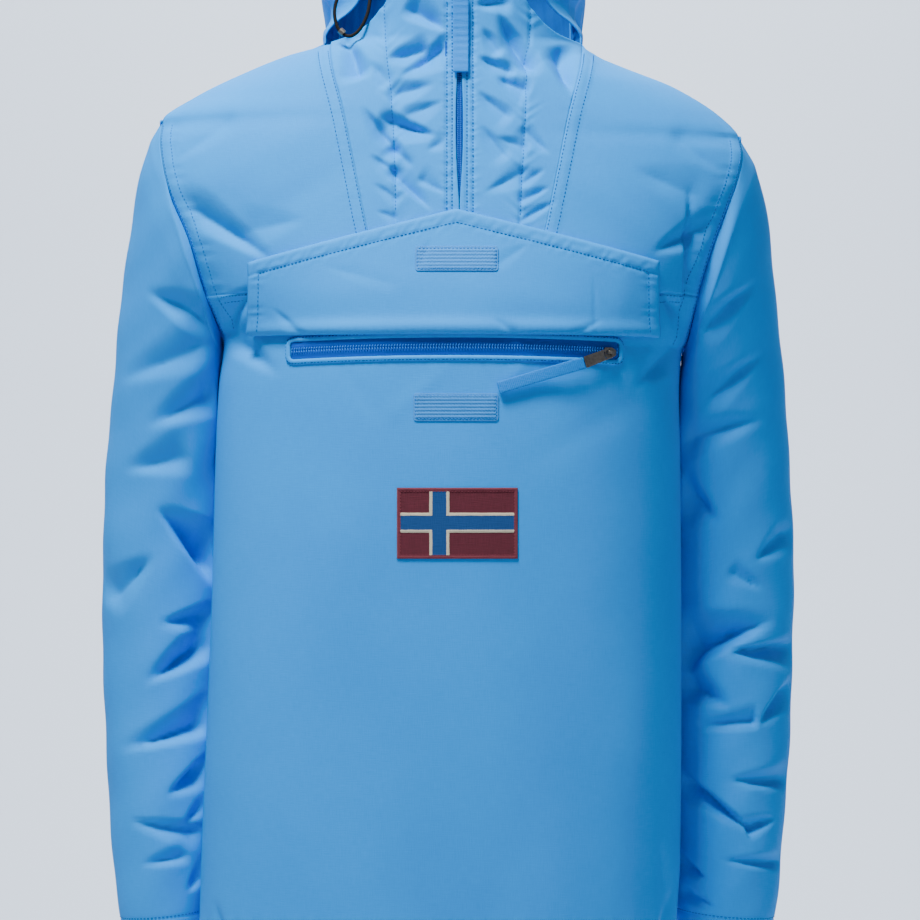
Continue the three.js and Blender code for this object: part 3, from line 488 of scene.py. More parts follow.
def clothGrid(name, across, down, pointAt, cut, relief=None, inward=False, ring=False, wall=0.0016):
    # a thin shell: a grid laid on the form, moved by its relief, with the cut's own flat size as its UV map
    bm = bmesh.new()
    bmesh.ops.create_grid(bm, x_segments=across, y_segments=down, size=0.5)
    flat = np.array([vert.co[:2] for vert in bm.verts]) + 0.5
    column, row = np.rint(flat * (across, down)).astype(int).T
    v = np.linspace(0, 1, down + 1)[:, None]
    u = np.broadcast_to(np.linspace(0, 1, across + 1), (down + 1, across + 1))
    points = pointAt(v, u)
    normals = gridNormals(points, ring) * (-1 if inward else 1)
    if relief is not None:
        points = points + normals * relief(points, normals, u, v + 0 * u)[..., None]
    layer = bm.loops.layers.uv.new("cut")
    for face in bm.faces:
        for loop in face.loops:
            place = flat[loop.vert.index]
            loop[layer].uv = (place[0] * cut[0], place[1] * cut[1])
    for vert, place in zip(bm.verts, points[row, column]):
        vert.co = place
    if ring:
        bmesh.ops.remove_doubles(bm, verts=bm.verts, dist=1e-6)
    if inward:
        bmesh.ops.reverse_faces(bm, faces=bm.faces)
    piece = addObject(name, bm)
    if wall:
        shell = piece.modifiers.new("wall", "SOLIDIFY")
        shell.thickness = wall
        shell.offset = -1
    return piece


def bell(off, half):
    return np.exp(-((off / half) ** 2))


def rippled(along, pitch, stray, beat):
    # an uneven wave along a line of sewing
    return np.sin(2 * math.pi * (along / pitch + stray * np.sin(along * beat)))


# Creases: a valley that grows from its tip to its mouth, its two sides of their own widths
def crease(tipX, tipZ, mouthX, mouthZ, above, below, deep, run=0.35):
    tip, mouth = (tipX, tipZ), (mouthX, mouthZ)
    return {"tip": tip, "mouth": mouth, "above": above, "below": below, "deep": deep, "run": run}


def creaseDepth(creases, x, z, spread=1.0):
    total = np.zeros_like(x)
    for fold in creases:
        aim = np.subtract(fold["mouth"], fold["tip"])
        length = np.hypot(*aim)
        aim = aim / length
        up = np.array((-aim[1], aim[0])) * (1 if aim[0] >= 0 else -1)
        offX, offZ = x - fold["tip"][0], z - fold["tip"][1]
        t = (offX * aim[0] + offZ * aim[1]) / length
        off = offX * up[0] + offZ * up[1]
        width = np.where(off > 0, fold["above"], fold["below"]) * (0.3 + 0.7 * np.clip(t, 0, 1))
        fade = smooth(t, -0.12, 0.55) * (1 - smooth(t, 1.0, 1.0 + fold["run"]))
        total -= spread * fold["deep"] * fade * np.clip(1 - np.abs(off) / (width * spread), 0, 1) ** 1.4
    return total


# Soft ridges and troughs: middle, turn from the level in degrees, half length, half width and height
def swell(x, z, turn, long, wide, high):
    return {"at": (x, z), "turn": math.radians(turn), "long": long, "wide": wide, "high": high}


def swellHeight(swells, x, z):
    total = np.zeros_like(x)
    for soft in swells:
        offX, offZ = x - soft["at"][0], z - soft["at"][1]
        along = offX * math.cos(soft["turn"]) + offZ * math.sin(soft["turn"])
        off = offZ * math.cos(soft["turn"]) - offX * math.sin(soft["turn"])
        total += soft["high"] * np.exp(-((along / soft["long"]) ** 2) - (off / soft["wide"]) ** 2)
    return total


def fromLine(points, x, z):
    # how far off a line of points, positive on the side of +X, and how far along it
    nearest = np.full(np.shape(x), 1e9)
    off, along = np.zeros(np.shape(x)), np.zeros(np.shape(x))
    passed = 0.0
    for (ax, az), (bx, bz) in zip(points, points[1:]):
        length = math.hypot(bx - ax, bz - az)
        aimX, aimZ = (bx - ax) / length, (bz - az) / length
        t = np.clip((x - ax) * aimX + (z - az) * aimZ, 0, length)
        gapX, gapZ = x - ax - aimX * t, z - az - aimZ * t
        gap = np.hypot(gapX, gapZ)
        closer = gap < nearest
        side = np.sign(gapX * -aimZ + gapZ * aimX) * (1 if aimZ < 0 else -1)
        nearest = np.where(closer, gap, nearest)
        off = np.where(closer, gap * side, off)
        along = np.where(closer, passed + t, along)
        passed += length
    return off, along


def sewnRelief(line, x, z):
    # a stitched line: a narrow groove, with uneven puckers that lean away from it
    off, along = fromLine(line["points"], x, z)
    turn = (along + line["lean"] * np.abs(off)) / line["wave"] + line["start"]
    turn = turn + 0.33 * np.sin(1.9 * turn + line["start"]) + 0.21 * np.sin(0.73 * turn)
    reach = line["reach"] * (1 + 0.4 * np.sin(2.3 * turn))
    ripple = np.sin(2 * math.pi * turn) * bell(off, reach)
    return line["pucker"] * ripple - line["groove"] * bell(off, 0.0016)


def seamLine(side, offset=0.0):
    # the slanting seam beside the neck, moved outwards
    rows = zip(neckSeamLine["x"], neckSeamLine["z"])
    return [(side * (x + offset), z) for x, z in rows]


puckerRight = [(-0.0612, 0.040), (-0.0604, 0.022), (-0.0579, -0.0096), (-0.0546, -0.0354), (-0.0529, -0.0696),
               (-0.0512, -0.0987), (-0.0504, -0.1354), (-0.049, -0.2)]
puckerLeft = [(0.0625, 0.038), (0.0621, 0.0154), (0.0596, -0.0038), (0.0587, -0.0288), (0.0571, -0.0604),
              (0.0562, -0.0796), (0.0546, -0.1054), (0.0529, -0.1396), (0.050, -0.2)]
placketLines = [[(x, 0.085), (x, -0.2)] for x in (-0.0079, -0.0036, 0.0088, 0.0138)]


def sewn(points, pucker, groove, wave=0.0075, reach=0.006, lean=0.7, start=0.0):
    return {
        "points": points, "pucker": pucker, "groove": groove,
        "wave": wave, "reach": reach, "lean": lean, "start": start,
    }


frontSewing = [
    sewn(puckerRight, 0.00042, 0.0010, 0.0125, 0.009, 0.8, 0.2),
    sewn(puckerLeft, 0.00042, 0.0010, 0.013, 0.009, 0.7, 1.7),
    sewn(placketLines[0], 0.00045, 0.0013, 0.0068, 0.004, 0.3, 0.5),
    sewn(placketLines[1], 0.0003, 0.0010, 0.0064, 0.002, 0.2, 0.9),
    sewn(placketLines[2], 0.0003, 0.0010, 0.006, 0.002, 0.2, 0.1),
    sewn(placketLines[3], 0.00045, 0.0013, 0.0072, 0.004, 0.3, 1.3),
]
neckSeamRows = (0.0016, 0.0102)
for seamSide in (-1, 1):
    for row, wave, start in zip(neckSeamRows, (0.011, 0.012), (seamSide, 2 * seamSide)):
        frontSewing.append(sewn(seamLine(seamSide, row), 0.00012, 0.00045, wave, 0.004, 0.5, start))

frontCreases = [
    # neck, wearer's right
    crease(-0.058, -0.006, -0.030, 0.001, 0.006, 0.009, 0.0038),
    crease(-0.045, -0.021, -0.010, 0.003, 0.005, 0.010, 0.0036),
    crease(-0.020, -0.029, -0.050, -0.036, 0.006, 0.007, 0.0022),
    crease(-0.012, -0.044, -0.038, -0.053, 0.004, 0.008, 0.0016),
    crease(-0.018, -0.072, -0.054, -0.059, 0.004, 0.011, 0.0042),
    crease(-0.022, -0.134, -0.049, -0.108, 0.011, 0.004, 0.0036),
    crease(-0.008, -0.122, -0.027, -0.111, 0.007, 0.003, 0.0018),
    crease(-0.008, 0.016, -0.036, 0.032, 0.010, 0.004, 0.0036),
    crease(-0.077, -0.050, -0.053, -0.081, 0.004, 0.009, 0.0028),
    crease(-0.071, -0.089, -0.053, -0.101, 0.003, 0.007, 0.0018),
    crease(-0.068, -0.113, -0.051, -0.124, 0.004, 0.006, 0.0013),
    crease(-0.072, -0.009, -0.059, -0.025, 0.005, 0.006, 0.0015),
    crease(-0.093, 0.014, -0.084, -0.016, 0.007, 0.010, 0.0045),
    crease(-0.024, -0.085, -0.009, -0.076, 0.005, 0.005, 0.0013),
    crease(-0.036, -0.098, -0.052, -0.083, 0.004, 0.008, 0.0018),
    crease(-0.066, -0.136, -0.052, -0.141, 0.004, 0.004, 0.0010),
    # neck, wearer's left
    crease(0.036, 0.030, 0.060, -0.008, 0.005, 0.010, 0.0046),
    crease(0.018, -0.006, 0.043, -0.015, 0.004, 0.009, 0.0028),
    crease(0.034, -0.023, 0.056, -0.031, 0.005, 0.009, 0.0030),
    crease(0.017, -0.035, 0.040, -0.053, 0.004, 0.008, 0.0019),
    crease(0.034, -0.074, 0.055, -0.081, 0.004, 0.007, 0.0017),
    crease(0.024, -0.120, 0.053, -0.104, 0.005, 0.010, 0.0018),
    crease(0.016, 0.037, 0.040, 0.040, 0.006, 0.005, 0.0022),
    crease(0.096, -0.035, 0.090, -0.002, 0.008, 0.009, 0.0052),
    crease(0.077, -0.087, 0.059, -0.069, 0.004, 0.007, 0.0016),
    crease(0.073, -0.101, 0.057, -0.111, 0.006, 0.004, 0.0015),
    crease(0.077, -0.116, 0.056, -0.126, 0.007, 0.004, 0.0021),
    crease(0.082, -0.128, 0.060, -0.140, 0.006, 0.004, 0.0016),
    crease(0.020, -0.064, 0.038, -0.086, 0.004, 0.008, 0.0015),
    crease(0.022, 0.018, 0.034, 0.001, 0.005, 0.006, 0.0018),
    # yokes
    crease(-0.155, -0.175, -0.214, -0.139, 0.016, 0.008, 0.0042, 0.6),
    crease(-0.170, -0.198, -0.196, -0.226, 0.014, 0.010, 0.0040, 0.6),
    crease(-0.128, -0.142, -0.170, -0.150, 0.016, 0.012, 0.0014),
    crease(0.196, -0.120, 0.196, -0.226, 0.012, 0.006, 0.0050, 0.4),
    crease(0.166, -0.168, 0.205, -0.150, 0.012, 0.010, 0.0034, 0.5),
    crease(0.168, -0.198, 0.196, -0.224, 0.012, 0.012, 0.0036, 0.6),
    crease(0.150, -0.100, 0.196, -0.118, 0.018, 0.014, 0.0016),
    crease(-0.236, -0.088, -0.196, -0.060, 0.012, 0.010, 0.0012),
    crease(0.226, -0.100, 0.190, -0.074, 0.012, 0.010, 0.0012),
    # below the chest seam
    crease(-0.150, -0.270, -0.196, -0.236, 0.016, 0.010, 0.0034, 0.6),
    crease(0.150, -0.282, 0.188, -0.246, 0.014, 0.012, 0.0030, 0.6),
    crease(0.171, -0.655, 0.179, -0.712, 0.008, 0.010, 0.0016),
    crease(0.184, -0.705, 0.172, -0.745, 0.008, 0.008, 0.0022),
    crease(-0.204, -0.712, -0.198, -0.750, 0.008, 0.008, 0.0018),
]
frontSwells = [
    swell(-0.10, -0.42, 78, 0.16, 0.030, 0.0014),
    swell(0.09, -0.47, 98, 0.18, 0.034, -0.0015),
    swell(0.15, -0.58, 84, 0.17, 0.022, 0.0017),
    swell(-0.16, -0.60, 95, 0.18, 0.026, -0.0013),
    swell(-0.04, -0.64, 80, 0.14, 0.036, 0.0015),
    swell(0.04, -0.70, 70, 0.09, 0.026, -0.0012),
    swell(-0.12, -0.70, 102, 0.08, 0.022, 0.0012),
    swell(0.12, -0.31, 30, 0.06, 0.012, -0.0008),
    swell(-0.03, -0.285, 42, 0.035, 0.007, 0.0006),
    swell(0.045, -0.275, 50, 0.03, 0.006, 0.0006),
    swell(-0.075, -0.290, 128, 0.03, 0.008, -0.0006),
    swell(-0.15, -0.08, 24, 0.05, 0.016, 0.0011),
    swell(0.15, -0.06, -20, 0.05, 0.014, 0.0011),
    swell(-0.12, -0.115, 30, 0.06, 0.012, -0.0009),
    swell(0.13, -0.13, -38, 0.06, 0.014, 0.0010),
]


# Sewn bands: rows of stitches and the fold's end, as far in from the edge, then heights and puckers
bands = {
    "armhole": {
        "rows": (0.0095, 0.0015), "rowHalf": 0.0012, "end": (0.009, 0.0115), "raised": 0.0007,
        "groove": 0.0004, "pucker": 0.0003, "puckerAt": 0.010, "puckerHalf": 0.008,
    },
    "chest": {
        "rows": (0.0016, 0.0072), "rowHalf": 0.0013, "end": (0.0078, 0.0092), "raised": 0.0006,
        "groove": 0.0004, "pucker": 0.00035, "puckerAt": 0.004, "puckerHalf": 0.008,
    },
    "hem": {
        "rows": (form["hemStitch"],), "rowHalf": 0.0014, "end": (0.0235, 0.0255), "raised": 0.0006,
        "groove": 0.0005, "pucker": 0.0006, "puckerAt": form["hemStitch"], "puckerHalf": 0.014,
    },
    "neckSeam": {"end": (0.0108, 0.0122), "raised": 0.0007},
}


def bandRelief(band, inset, start, wave):
    raised = start * (1 - smooth(inset, *band["end"]))
    groove = sum(bell(inset - row, band["rowHalf"]) for row in band["rows"])
    ripple = wave * bell(inset - band["puckerAt"], band["puckerHalf"])
    return band["raised"] * raised - band["groove"] * groove + band["pucker"] * ripple


def armholeBand(x, z):
    total = np.zeros_like(x)
    for edge, side in ((rightEdge, -1), (leftEdge, 1)):
        inset = np.where(x * side > 0, valueAt(edge, "half", z) - np.abs(x), 1.0)
        armpit, shoulder = edge["armpit"], edge["shoulder"]
        level = smooth(z, armpit - 0.02, armpit + 0.03) * (1 - smooth(z, shoulder, shoulder + 0.012))
        start = smooth(inset, -0.002, 0.001)
        total += level * bandRelief(bands["armhole"], inset, start, rippled(z, 0.013, 0.3, 190))
    return total


def seamBand(x, z):
    # the felled band outside each slanting neck seam
    off, band = np.abs(x) - valueAt(neckSeamLine, "x", z), bands["neckSeam"]
    raised = smooth(off, -0.0006, 0.0006) * (1 - smooth(off, *band["end"]))
    return band["raised"] * raised * (1 - smooth(z, 0.0, 0.012)) * smooth(z, -0.215, -0.2)


def chestBand(x, z):
    under = chestSeam - z
    start = smooth(under, -0.0006, 0.0006)
    return bandRelief(bands["chest"], under, start, rippled(x, 0.010, 0.3, 170))


def hemBand(x, z):
    return bandRelief(bands["hem"], z - form["hem"], 1, rippled(x, 0.016, 0.35, 61))


def frontRelief(x, z):
    half = bySide(x, "half", z)
    clear = smooth(half - np.abs(x), 0.001, 0.018) * smooth(np.abs(x - form["zipX"]), 0.007, 0.017)
    neck = smooth(z, -0.125, -0.085) * smooth(0.115 - np.abs(x), 0.0, 0.03)
    total = (1.3 - 1.3 * neck) * creaseDepth(frontCreases, x, z, 1.5)
    total = clear * (total + 1.15 * neck * creaseDepth(frontCreases, x, z, 2.2))
    total += (
        swellHeight(frontSwells, x, z) + armholeBand(x, z) + seamBand(x, z) + chestBand(x, z) + hemBand(x, z)
    )
    for line in frontSewing:
        total += sewnRelief(line, x, z)
    return total


def frontShape(points, normals, u, v):
    return frontRelief(points[..., 0], points[..., 2])


def ventAt(z):
    return np.clip((form["ventTop"] - z) / (form["ventTop"] - form["hem"]), 0, None)


def makeFrontBody():
    facts = {"across": 176, "down": 184, "cut": (0.55, 0.558)}

    def rowPoint(v, t):
        return bodyPoint(form["hem"] + (chestSeam - form["hem"]) * v, 2 * t - 1, "front")

    def pointAt(v, u):
        trim = form["ventFrontCut"] * ventAt(form["hem"] + (chestSeam - form["hem"]) * v)
        return evenly(rowPoint, v, u, trim, trim)

    piece = clothGrid("frontBody", facts["across"], facts["down"], pointAt, facts["cut"], frontShape)
    dress(piece, shellCloth, nodes=["front_body"])
    return piece


def makeYoke(name, node, side):
    facts = {"across": 72, "down": 96, "cut": (0.19, 0.222), "area": 0.037, "top": form["neckSeam"] - 0.0025}

    def rowPoint(v, t):
        z = chestSeam + (facts["top"] - chestSeam) * v
        inner = sAtX(z, side * valueAt(neckSeamLine, "x", z), "front")
        s = side + (inner - side) * t if side < 0 else inner + (side - inner) * t
        return bodyPoint(z, s, "front")

    piece = clothGrid(
        name, facts["across"], facts["down"], lambda v, u: evenly(rowPoint, v, u), facts["cut"], frontShape
    )
    dress(piece, shellCloth, nodes=[node])
    return piece


def slitHalf(z):
    share = (z - form["slitBottom"]) / (form["slitTop"] - form["slitBottom"])
    return form["slitEdge"] + form["slitHalf"] * np.sin(math.pi * np.clip(share, 0, 1))


def makeNeckPanel(name, node, side):
    facts = {"across": 72, "down": 170, "cut": (0.108, 0.292), "area": 0.0245}

    def rowPoint(v, t):
        t = t if side < 0 else 1 - t
        outerZ = chestSeam + (form["neckSeam"] - chestSeam) * v
        innerZ = chestSeam + (neckTopEdge["z"][0] - chestSeam) * v
        outerX = side * valueAt(neckSeamLine, "x", outerZ)
        innerX = form["zipX"] + side * slitHalf(innerZ)
        x = outerX + (innerX - outerX) * t
        straight = form["neckSeam"] + (neckTopEdge["z"][0] - form["neckSeam"]) * t
        top = valueAt(neckTopEdge, "z", np.abs(x), "x")
        return onBody(x, outerZ + (innerZ - outerZ) * t + v ** 5 * (top - straight), "front")

    piece = clothGrid(
        name, facts["across"], facts["down"], lambda v, u: evenly(rowPoint, v, u), facts["cut"], frontShape
    )
    dress(piece, shellCloth, nodes=[node])
    return piece


# Back: a few soft folds between the shoulders and down to the hem
backSwells = [
    swell(0.0, -0.12, 4, 0.11, 0.014, 0.0022),
    swell(-0.05, -0.165, -14, 0.09, 0.013, -0.0022),
    swell(0.10, -0.20, 34, 0.07, 0.012, 0.0024),
    swell(-0.13, -0.22, -42, 0.07, 0.013, 0.0026),
    swell(0.15, -0.26, 52, 0.06, 0.011, -0.0022),
    swell(-0.07, -0.45, 84, 0.17, 0.026, 0.0024),
    swell(0.06, -0.50, 97, 0.18, 0.024, -0.0024),
    swell(0.13, -0.56, 88, 0.16, 0.020, 0.0022),
    swell(-0.14, -0.60, 92, 0.15, 0.020, -0.0022),
    swell(0.0, -0.68, 86, 0.09, 0.020, 0.0020),
]
backCreases = [
    crease(-0.150, -0.215, -0.205, -0.165, 0.018, 0.010, 0.0042, 0.6),
    crease(0.145, -0.225, 0.198, -0.172, 0.018, 0.010, 0.0040, 0.6),
    crease(-0.120, -0.290, -0.190, -0.246, 0.016, 0.010, 0.0036, 0.5),
    crease(0.125, -0.305, 0.186, -0.258, 0.016, 0.011, 0.0034, 0.5),
    crease(0.010, -0.070, 0.070, -0.030, 0.014, 0.009, 0.0022),
    crease(-0.020, -0.080, -0.085, -0.034, 0.014, 0.009, 0.0024),
]


def backRelief(x, z):
    return creaseDepth(backCreases, x, z) + swellHeight(backSwells, x, z) + armholeBand(x, z) + hemBand(x, z)


def backShape(points, normals, u, v):
    return backRelief(points[..., 0], points[..., 2])


def makeBackBody():
    facts = {"across": 120, "down": 176, "cut": (0.54, 0.80), "area": 0.418}

    def rowPoint(v, t):
        return bodyPoint(form["hem"] + (form["neckSeam"] - form["hem"]) * v, 2 * t - 1, "back")

    def pointAt(v, u):
        trim = form["ventBackCut"] * ventAt(form["hem"] + (form["neckSeam"] - form["hem"]) * v)
        return evenly(rowPoint, v, u, trim, trim)

    piece = clothGrid(
        "backBody", facts["across"], facts["down"], pointAt, facts["cut"], backShape, inward=True
    )
    dress(piece, shellCloth, nodes=["back_body"])
    return piece


makeBackBody()
makeYoke("frontYokeRight", "front_yoke_right", -1)
makeYoke("frontYokeLeft", "front_yoke_left", 1)
makeNeckPanel("neckPanelRight", "neck_panel_right", -1)
makeNeckPanel("neckPanelLeft", "neck_panel_left", 1)
makeFrontBody()
print("body, yokes and neck panels")


# Hood, pushed back
hoodCut = {
    "edgeOut": (0, 0, -0.002, -0.006, -0.012, -0.021, -0.029, -0.034, -0.037, -0.038, -0.037),
    "edgeUp": (0, 0.005, 0.01, 0.015, 0.02, 0.026, 0.034, 0.045, 0.058, 0.071, 0.082),
    "edgeFore": (0, 0, 0.002, 0.005, 0.009, 0.015, 0.022, 0.028, 0.033, 0.036, 0.038),
    "sideOut": (0, 0.001, 0.002, 0.001, -0.002, -0.004, -0.004, 0.001, 0.008, 0.012, 0.01),
    "sideUp": (0, 0.005, 0.009, 0.014, 0.019, 0.025, 0.032, 0.042, 0.056, 0.071, 0.084),
    "backOut": (0, 0.016, 0.025, 0.041, 0.053, 0.068, 0.089, 0.104, 0.104, 0.093, 0.072),
    "backUp": (0, -0.014, -0.04, -0.08, -0.12, -0.14, -0.126, -0.078, -0.016, 0.05, 0.098),
    "row": tuple(range(11)),
}


def insideBody(points, clearance):
    x, y, z = points[..., 0], points[..., 1], points[..., 2]
    within = (z <= form["neckSeam"]) & (np.abs(x) <= bySide(x, "half", z) + clearance)
    back, front = onBody(x, z, "back")[..., 1], onBody(x, z, "front")[..., 1]
    return within & (y < back + clearance) & (y > front - clearance)


def hoodPoint(row, s):
    level = np.full(np.shape(s), form["neckSeam"])
    points = bodyPoint(level, s, "back")
    ahead, behind = np.minimum(1, s + 0.02), np.maximum(-1, s - 0.02)
    along = bodyPoint(level, ahead, "back") - bodyPoint(level, behind, "back")
    out = np.stack([-along[..., 1], along[..., 0], 0 * s], axis=-1)
    out /= np.linalg.norm(out, axis=-1, keepdims=True)
    far, sideAt = np.abs(s), form["hoodSideAt"]
    toEdge, toBack = smooth(far, sideAt, 1), smooth(sideAt - far, 0, sideAt * 0.95)

    def cut(key):
        return valueAt(hoodCut, key, row + 0 * s, "row")

    sideOut = cut("sideOut") + (cut("edgeOut") - cut("sideOut")) * toEdge
    sideUp = cut("sideUp") + (cut("edgeUp") - cut("sideUp")) * toEdge
    points = points + out * (sideOut + (cut("backOut") - sideOut) * toBack)[..., None]
    points[..., 1] -= cut("edgeFore") * toEdge
    points[..., 2] += sideUp + (cut("backUp") - sideUp) * toBack + 0.0004
    for _ in range(150):
        caught = insideBody(points, form["bodyClearance"]) & (row + 0 * s > 0.3)
        if not caught.any():
            break
        points[..., 2] += 0.001 * caught
    return points


hoodSwells = [
    # across the hood in s, up it as a share
    swell(-0.72, 0.45, 60, 0.16, 0.030, 0.0030),
    swell(0.70, 0.50, 118, 0.16, 0.030, 0.0030),
    swell(-0.45, 0.35, 70, 0.18, 0.026, -0.0030),
    swell(0.42, 0.30, 105, 0.18, 0.028, -0.0028),
    swell(0.12, 0.62, 84, 0.20, 0.030, 0.0026),
    swell(-0.18, 0.58, 95, 0.18, 0.034, 0.0026),
    swell(0.0, 0.30, 6, 0.40, 0.050, -0.0026),
    swell(0.60, 0.72, 96, 0.14, 0.026, -0.0024),
    swell(-0.60, 0.75, 88, 0.14, 0.026, -0.0024),
    swell(-0.88, 0.70, 80, 0.16, 0.022, 0.0024),
    swell(0.88, 0.66, 98, 0.16, 0.022, 0.0024),
]
hoodChannel = 0.86


def makeHoodPanel(name, node, fromS, toS, across, cut):
    def rowPoint(v, t):
        return hoodPoint(10 * v, fromS + (toS - fromS) * t)

    def shape(points, normals, u, v):
        s = fromS + (toS - fromS) * u
        ends = smooth(v, 0, 0.1)
        edges = smooth(np.minimum(u, 1 - u), 0, 0.10)
        high = swellHeight(hoodSwells, s, v) * ends * (0.35 + 0.65 * edges)
        groove = bell(v - hoodChannel, 0.012)
        ripple = np.sin(2 * math.pi * (s * 21 + 0.4 * np.sin(s * 17)))
        ripple = ripple * smooth(v, hoodChannel - 0.10, hoodChannel)
        seam = np.exp(-((np.minimum(u, 1 - u) / 0.02) ** 2)) if abs(fromS) < 1 and abs(toS) < 1 else 0
        return high - 0.0010 * groove + 0.0009 * ripple - 0.0006 * seam

    piece = clothGrid(name, across, 64, lambda v, u: evenly(rowPoint, v, u), cut, shape, inward=True)
    dress(piece, shellCloth, nodes=[node])
    # the inner faces take the deeper blue as painted shade, through the wall's second material
    piece.data.materials.append(hoodInsidePaintedShade)
    piece.modifiers["wall"].material_offset = 1
    return piece


hoodSeam = form["hoodPanelAt"]
makeHoodPanel("hoodRight", "hood_right", -1, -hoodSeam, 56, (0.12, 0.20))
makeHoodPanel("hoodCentre", "hood_centre", -hoodSeam, hoodSeam, 60, (0.27, 0.38))
makeHoodPanel("hoodLeft", "hood_left", hoodSeam, 1, 56, (0.12, 0.20))
print("hood")


# Sleeves: the outer and inner points of each section, its middle and its half depth
sleeveDepth = {
    "midY": (0.003, 0.012, 0.024, 0.036, 0.048, 0.056, 0.058, 0.056, 0.052, 0.048, 0.045, 0.043),
    "halfY": (0.066, 0.068, 0.068, 0.068, 0.067, 0.065, 0.063, 0.061, 0.058, 0.054, 0.05, 0.046),
    "row": tuple(range(12)),
}
rightSleeve = {
    "side": -1,
    "edge": rightEdge,
    "outX": (0.262, 0.272, 0.282, 0.291, 0.3, 0.307, 0.31, 0.309, 0.306, 0.301, 0.296, 0.291),
    "outZ": (-0.066, -0.092, -0.14, -0.2, -0.28, -0.36, -0.44, -0.52, -0.6, -0.67, -0.72, -0.752),
    "inX": (0.2, 0.2, 0.198, 0.197, 0.196, 0.196, 0.197, 0.199, 0.202, 0.206, 0.21, 0.214),
    "inZ": (-0.252, -0.272, -0.3, -0.335, -0.38, -0.425, -0.475, -0.535, -0.6, -0.665, -0.712, -0.744),
    **sleeveDepth,
}
leftSleeve = {
    "side": 1,
    "edge": leftEdge,
    "outX": (0.254, 0.265, 0.273, 0.279, 0.287, 0.293, 0.295, 0.294, 0.29, 0.285, 0.28, 0.275),
    "outZ": (-0.084, -0.115, -0.16, -0.215, -0.29, -0.37, -0.44, -0.52, -0.6, -0.67, -0.72, -0.752),
    "inX": (0.193, 0.189, 0.185, 0.182, 0.18, 0.178, 0.178, 0.179, 0.181, 0.184, 0.187, 0.19),
    "inZ": (-0.264, -0.285, -0.312, -0.345, -0.385, -0.43, -0.475, -0.535, -0.6, -0.665, -0.712, -0.744),
    **sleeveDepth,
}
rightSleeve["front"] = [
    crease(-0.254, -0.387, -0.208, -0.437, 0.034, 0.010, 0.0125, 0.6),
    crease(-0.253, -0.482, -0.214, -0.476, 0.010, 0.016, 0.0060),
    crease(-0.264, -0.531, -0.212, -0.503, 0.022, 0.010, 0.0105, 0.6),
    crease(-0.285, -0.590, -0.212, -0.571, 0.024, 0.008, 0.0085, 0.6),
    crease(-0.247, -0.628, -0.212, -0.603, 0.008, 0.018, 0.0085, 0.6),
    crease(-0.280, -0.652, -0.228, -0.661, 0.008, 0.014, 0.0045),
    crease(-0.234, -0.655, -0.212, -0.636, 0.010, 0.008, 0.0040, 0.6),
    crease(-0.270, -0.690, -0.238, -0.684, 0.012, 0.006, 0.0035),
    crease(-0.230, -0.713, -0.212, -0.694, 0.012, 0.008, 0.0050, 0.6),
    crease(-0.262, -0.426, -0.296, -0.456, 0.020, 0.016, 0.0050),
    crease(-0.262, -0.312, -0.208, -0.288, 0.024, 0.014, 0.0055, 0.6),
    crease(-0.286, -0.272, -0.226, -0.250, 0.024, 0.016, 0.0040, 0.5),
    crease(-0.262, -0.200, -0.222, -0.222, 0.020, 0.012, 0.0045, 0.6),
    crease(-0.284, -0.350, -0.240, -0.342, 0.022, 0.012, 0.0040),
]
leftSleeve["front"] = [
    crease(0.270, -0.482, 0.194, -0.511, 0.036, 0.012, 0.0135, 0.6),
    crease(0.231, -0.506, 0.284, -0.504, 0.006, 0.016, 0.0085, 0.8),
    crease(0.233, -0.553, 0.192, -0.538, 0.024, 0.010, 0.0085, 0.6),
    crease(0.206, -0.572, 0.256, -0.568, 0.014, 0.004, 0.0050, 0.1),
    crease(0.234, -0.618, 0.284, -0.621, 0.014, 0.006, 0.0060, 0.6),
    crease(0.275, -0.652, 0.252, -0.661, 0.012, 0.006, 0.0055, 0.1),
    crease(0.256, -0.661, 0.192, -0.617, 0.006, 0.012, 0.0100, 0.6),
    crease(0.229, -0.686, 0.284, -0.692, 0.010, 0.006, 0.0045, 0.6),
    crease(0.214, -0.703, 0.192, -0.687, 0.006, 0.009, 0.0050, 0.6),
    crease(0.223, -0.727, 0.198, -0.716, 0.006, 0.007, 0.0030),
    crease(0.262, -0.568, 0.284, -0.544, 0.006, 0.014, 0.0060, 0.6),
    crease(0.264, -0.453, 0.240, -0.440, 0.010, 0.008, 0.0030),
    crease(0.224, -0.395, 0.192, -0.366, 0.014, 0.030, 0.0075, 0.6),
    crease(0.258, -0.428, 0.284, -0.408, 0.012, 0.014, 0.0045, 0.6),
    crease(0.262, -0.306, 0.204, -0.324, 0.018, 0.014, 0.0045, 0.5),
    crease(0.262, -0.252, 0.222, -0.286, 0.016, 0.012, 0.0040, 0.5),
    crease(0.254, -0.192, 0.219, -0.226, 0.014, 0.012, 0.0045, 0.5),
]
rightSleeve["back"] = [
    crease(-0.230, -0.420, -0.290, -0.452, 0.026, 0.010, 0.0085, 0.5),
    crease(-0.280, -0.500, -0.222, -0.478, 0.010, 0.022, 0.0090, 0.5),
    crease(-0.236, -0.560, -0.292, -0.542, 0.022, 0.010, 0.0080, 0.5),
    crease(-0.286, -0.622, -0.226, -0.600, 0.020, 0.010, 0.0075, 0.5),
    crease(-0.238, -0.672, -0.286, -0.660, 0.018, 0.009, 0.0060, 0.5),
    crease(-0.272, -0.340, -0.220, -0.312, 0.024, 0.014, 0.0060, 0.5),
    crease(-0.278, -0.240, -0.226, -0.206, 0.022, 0.012, 0.0050, 0.5),
]
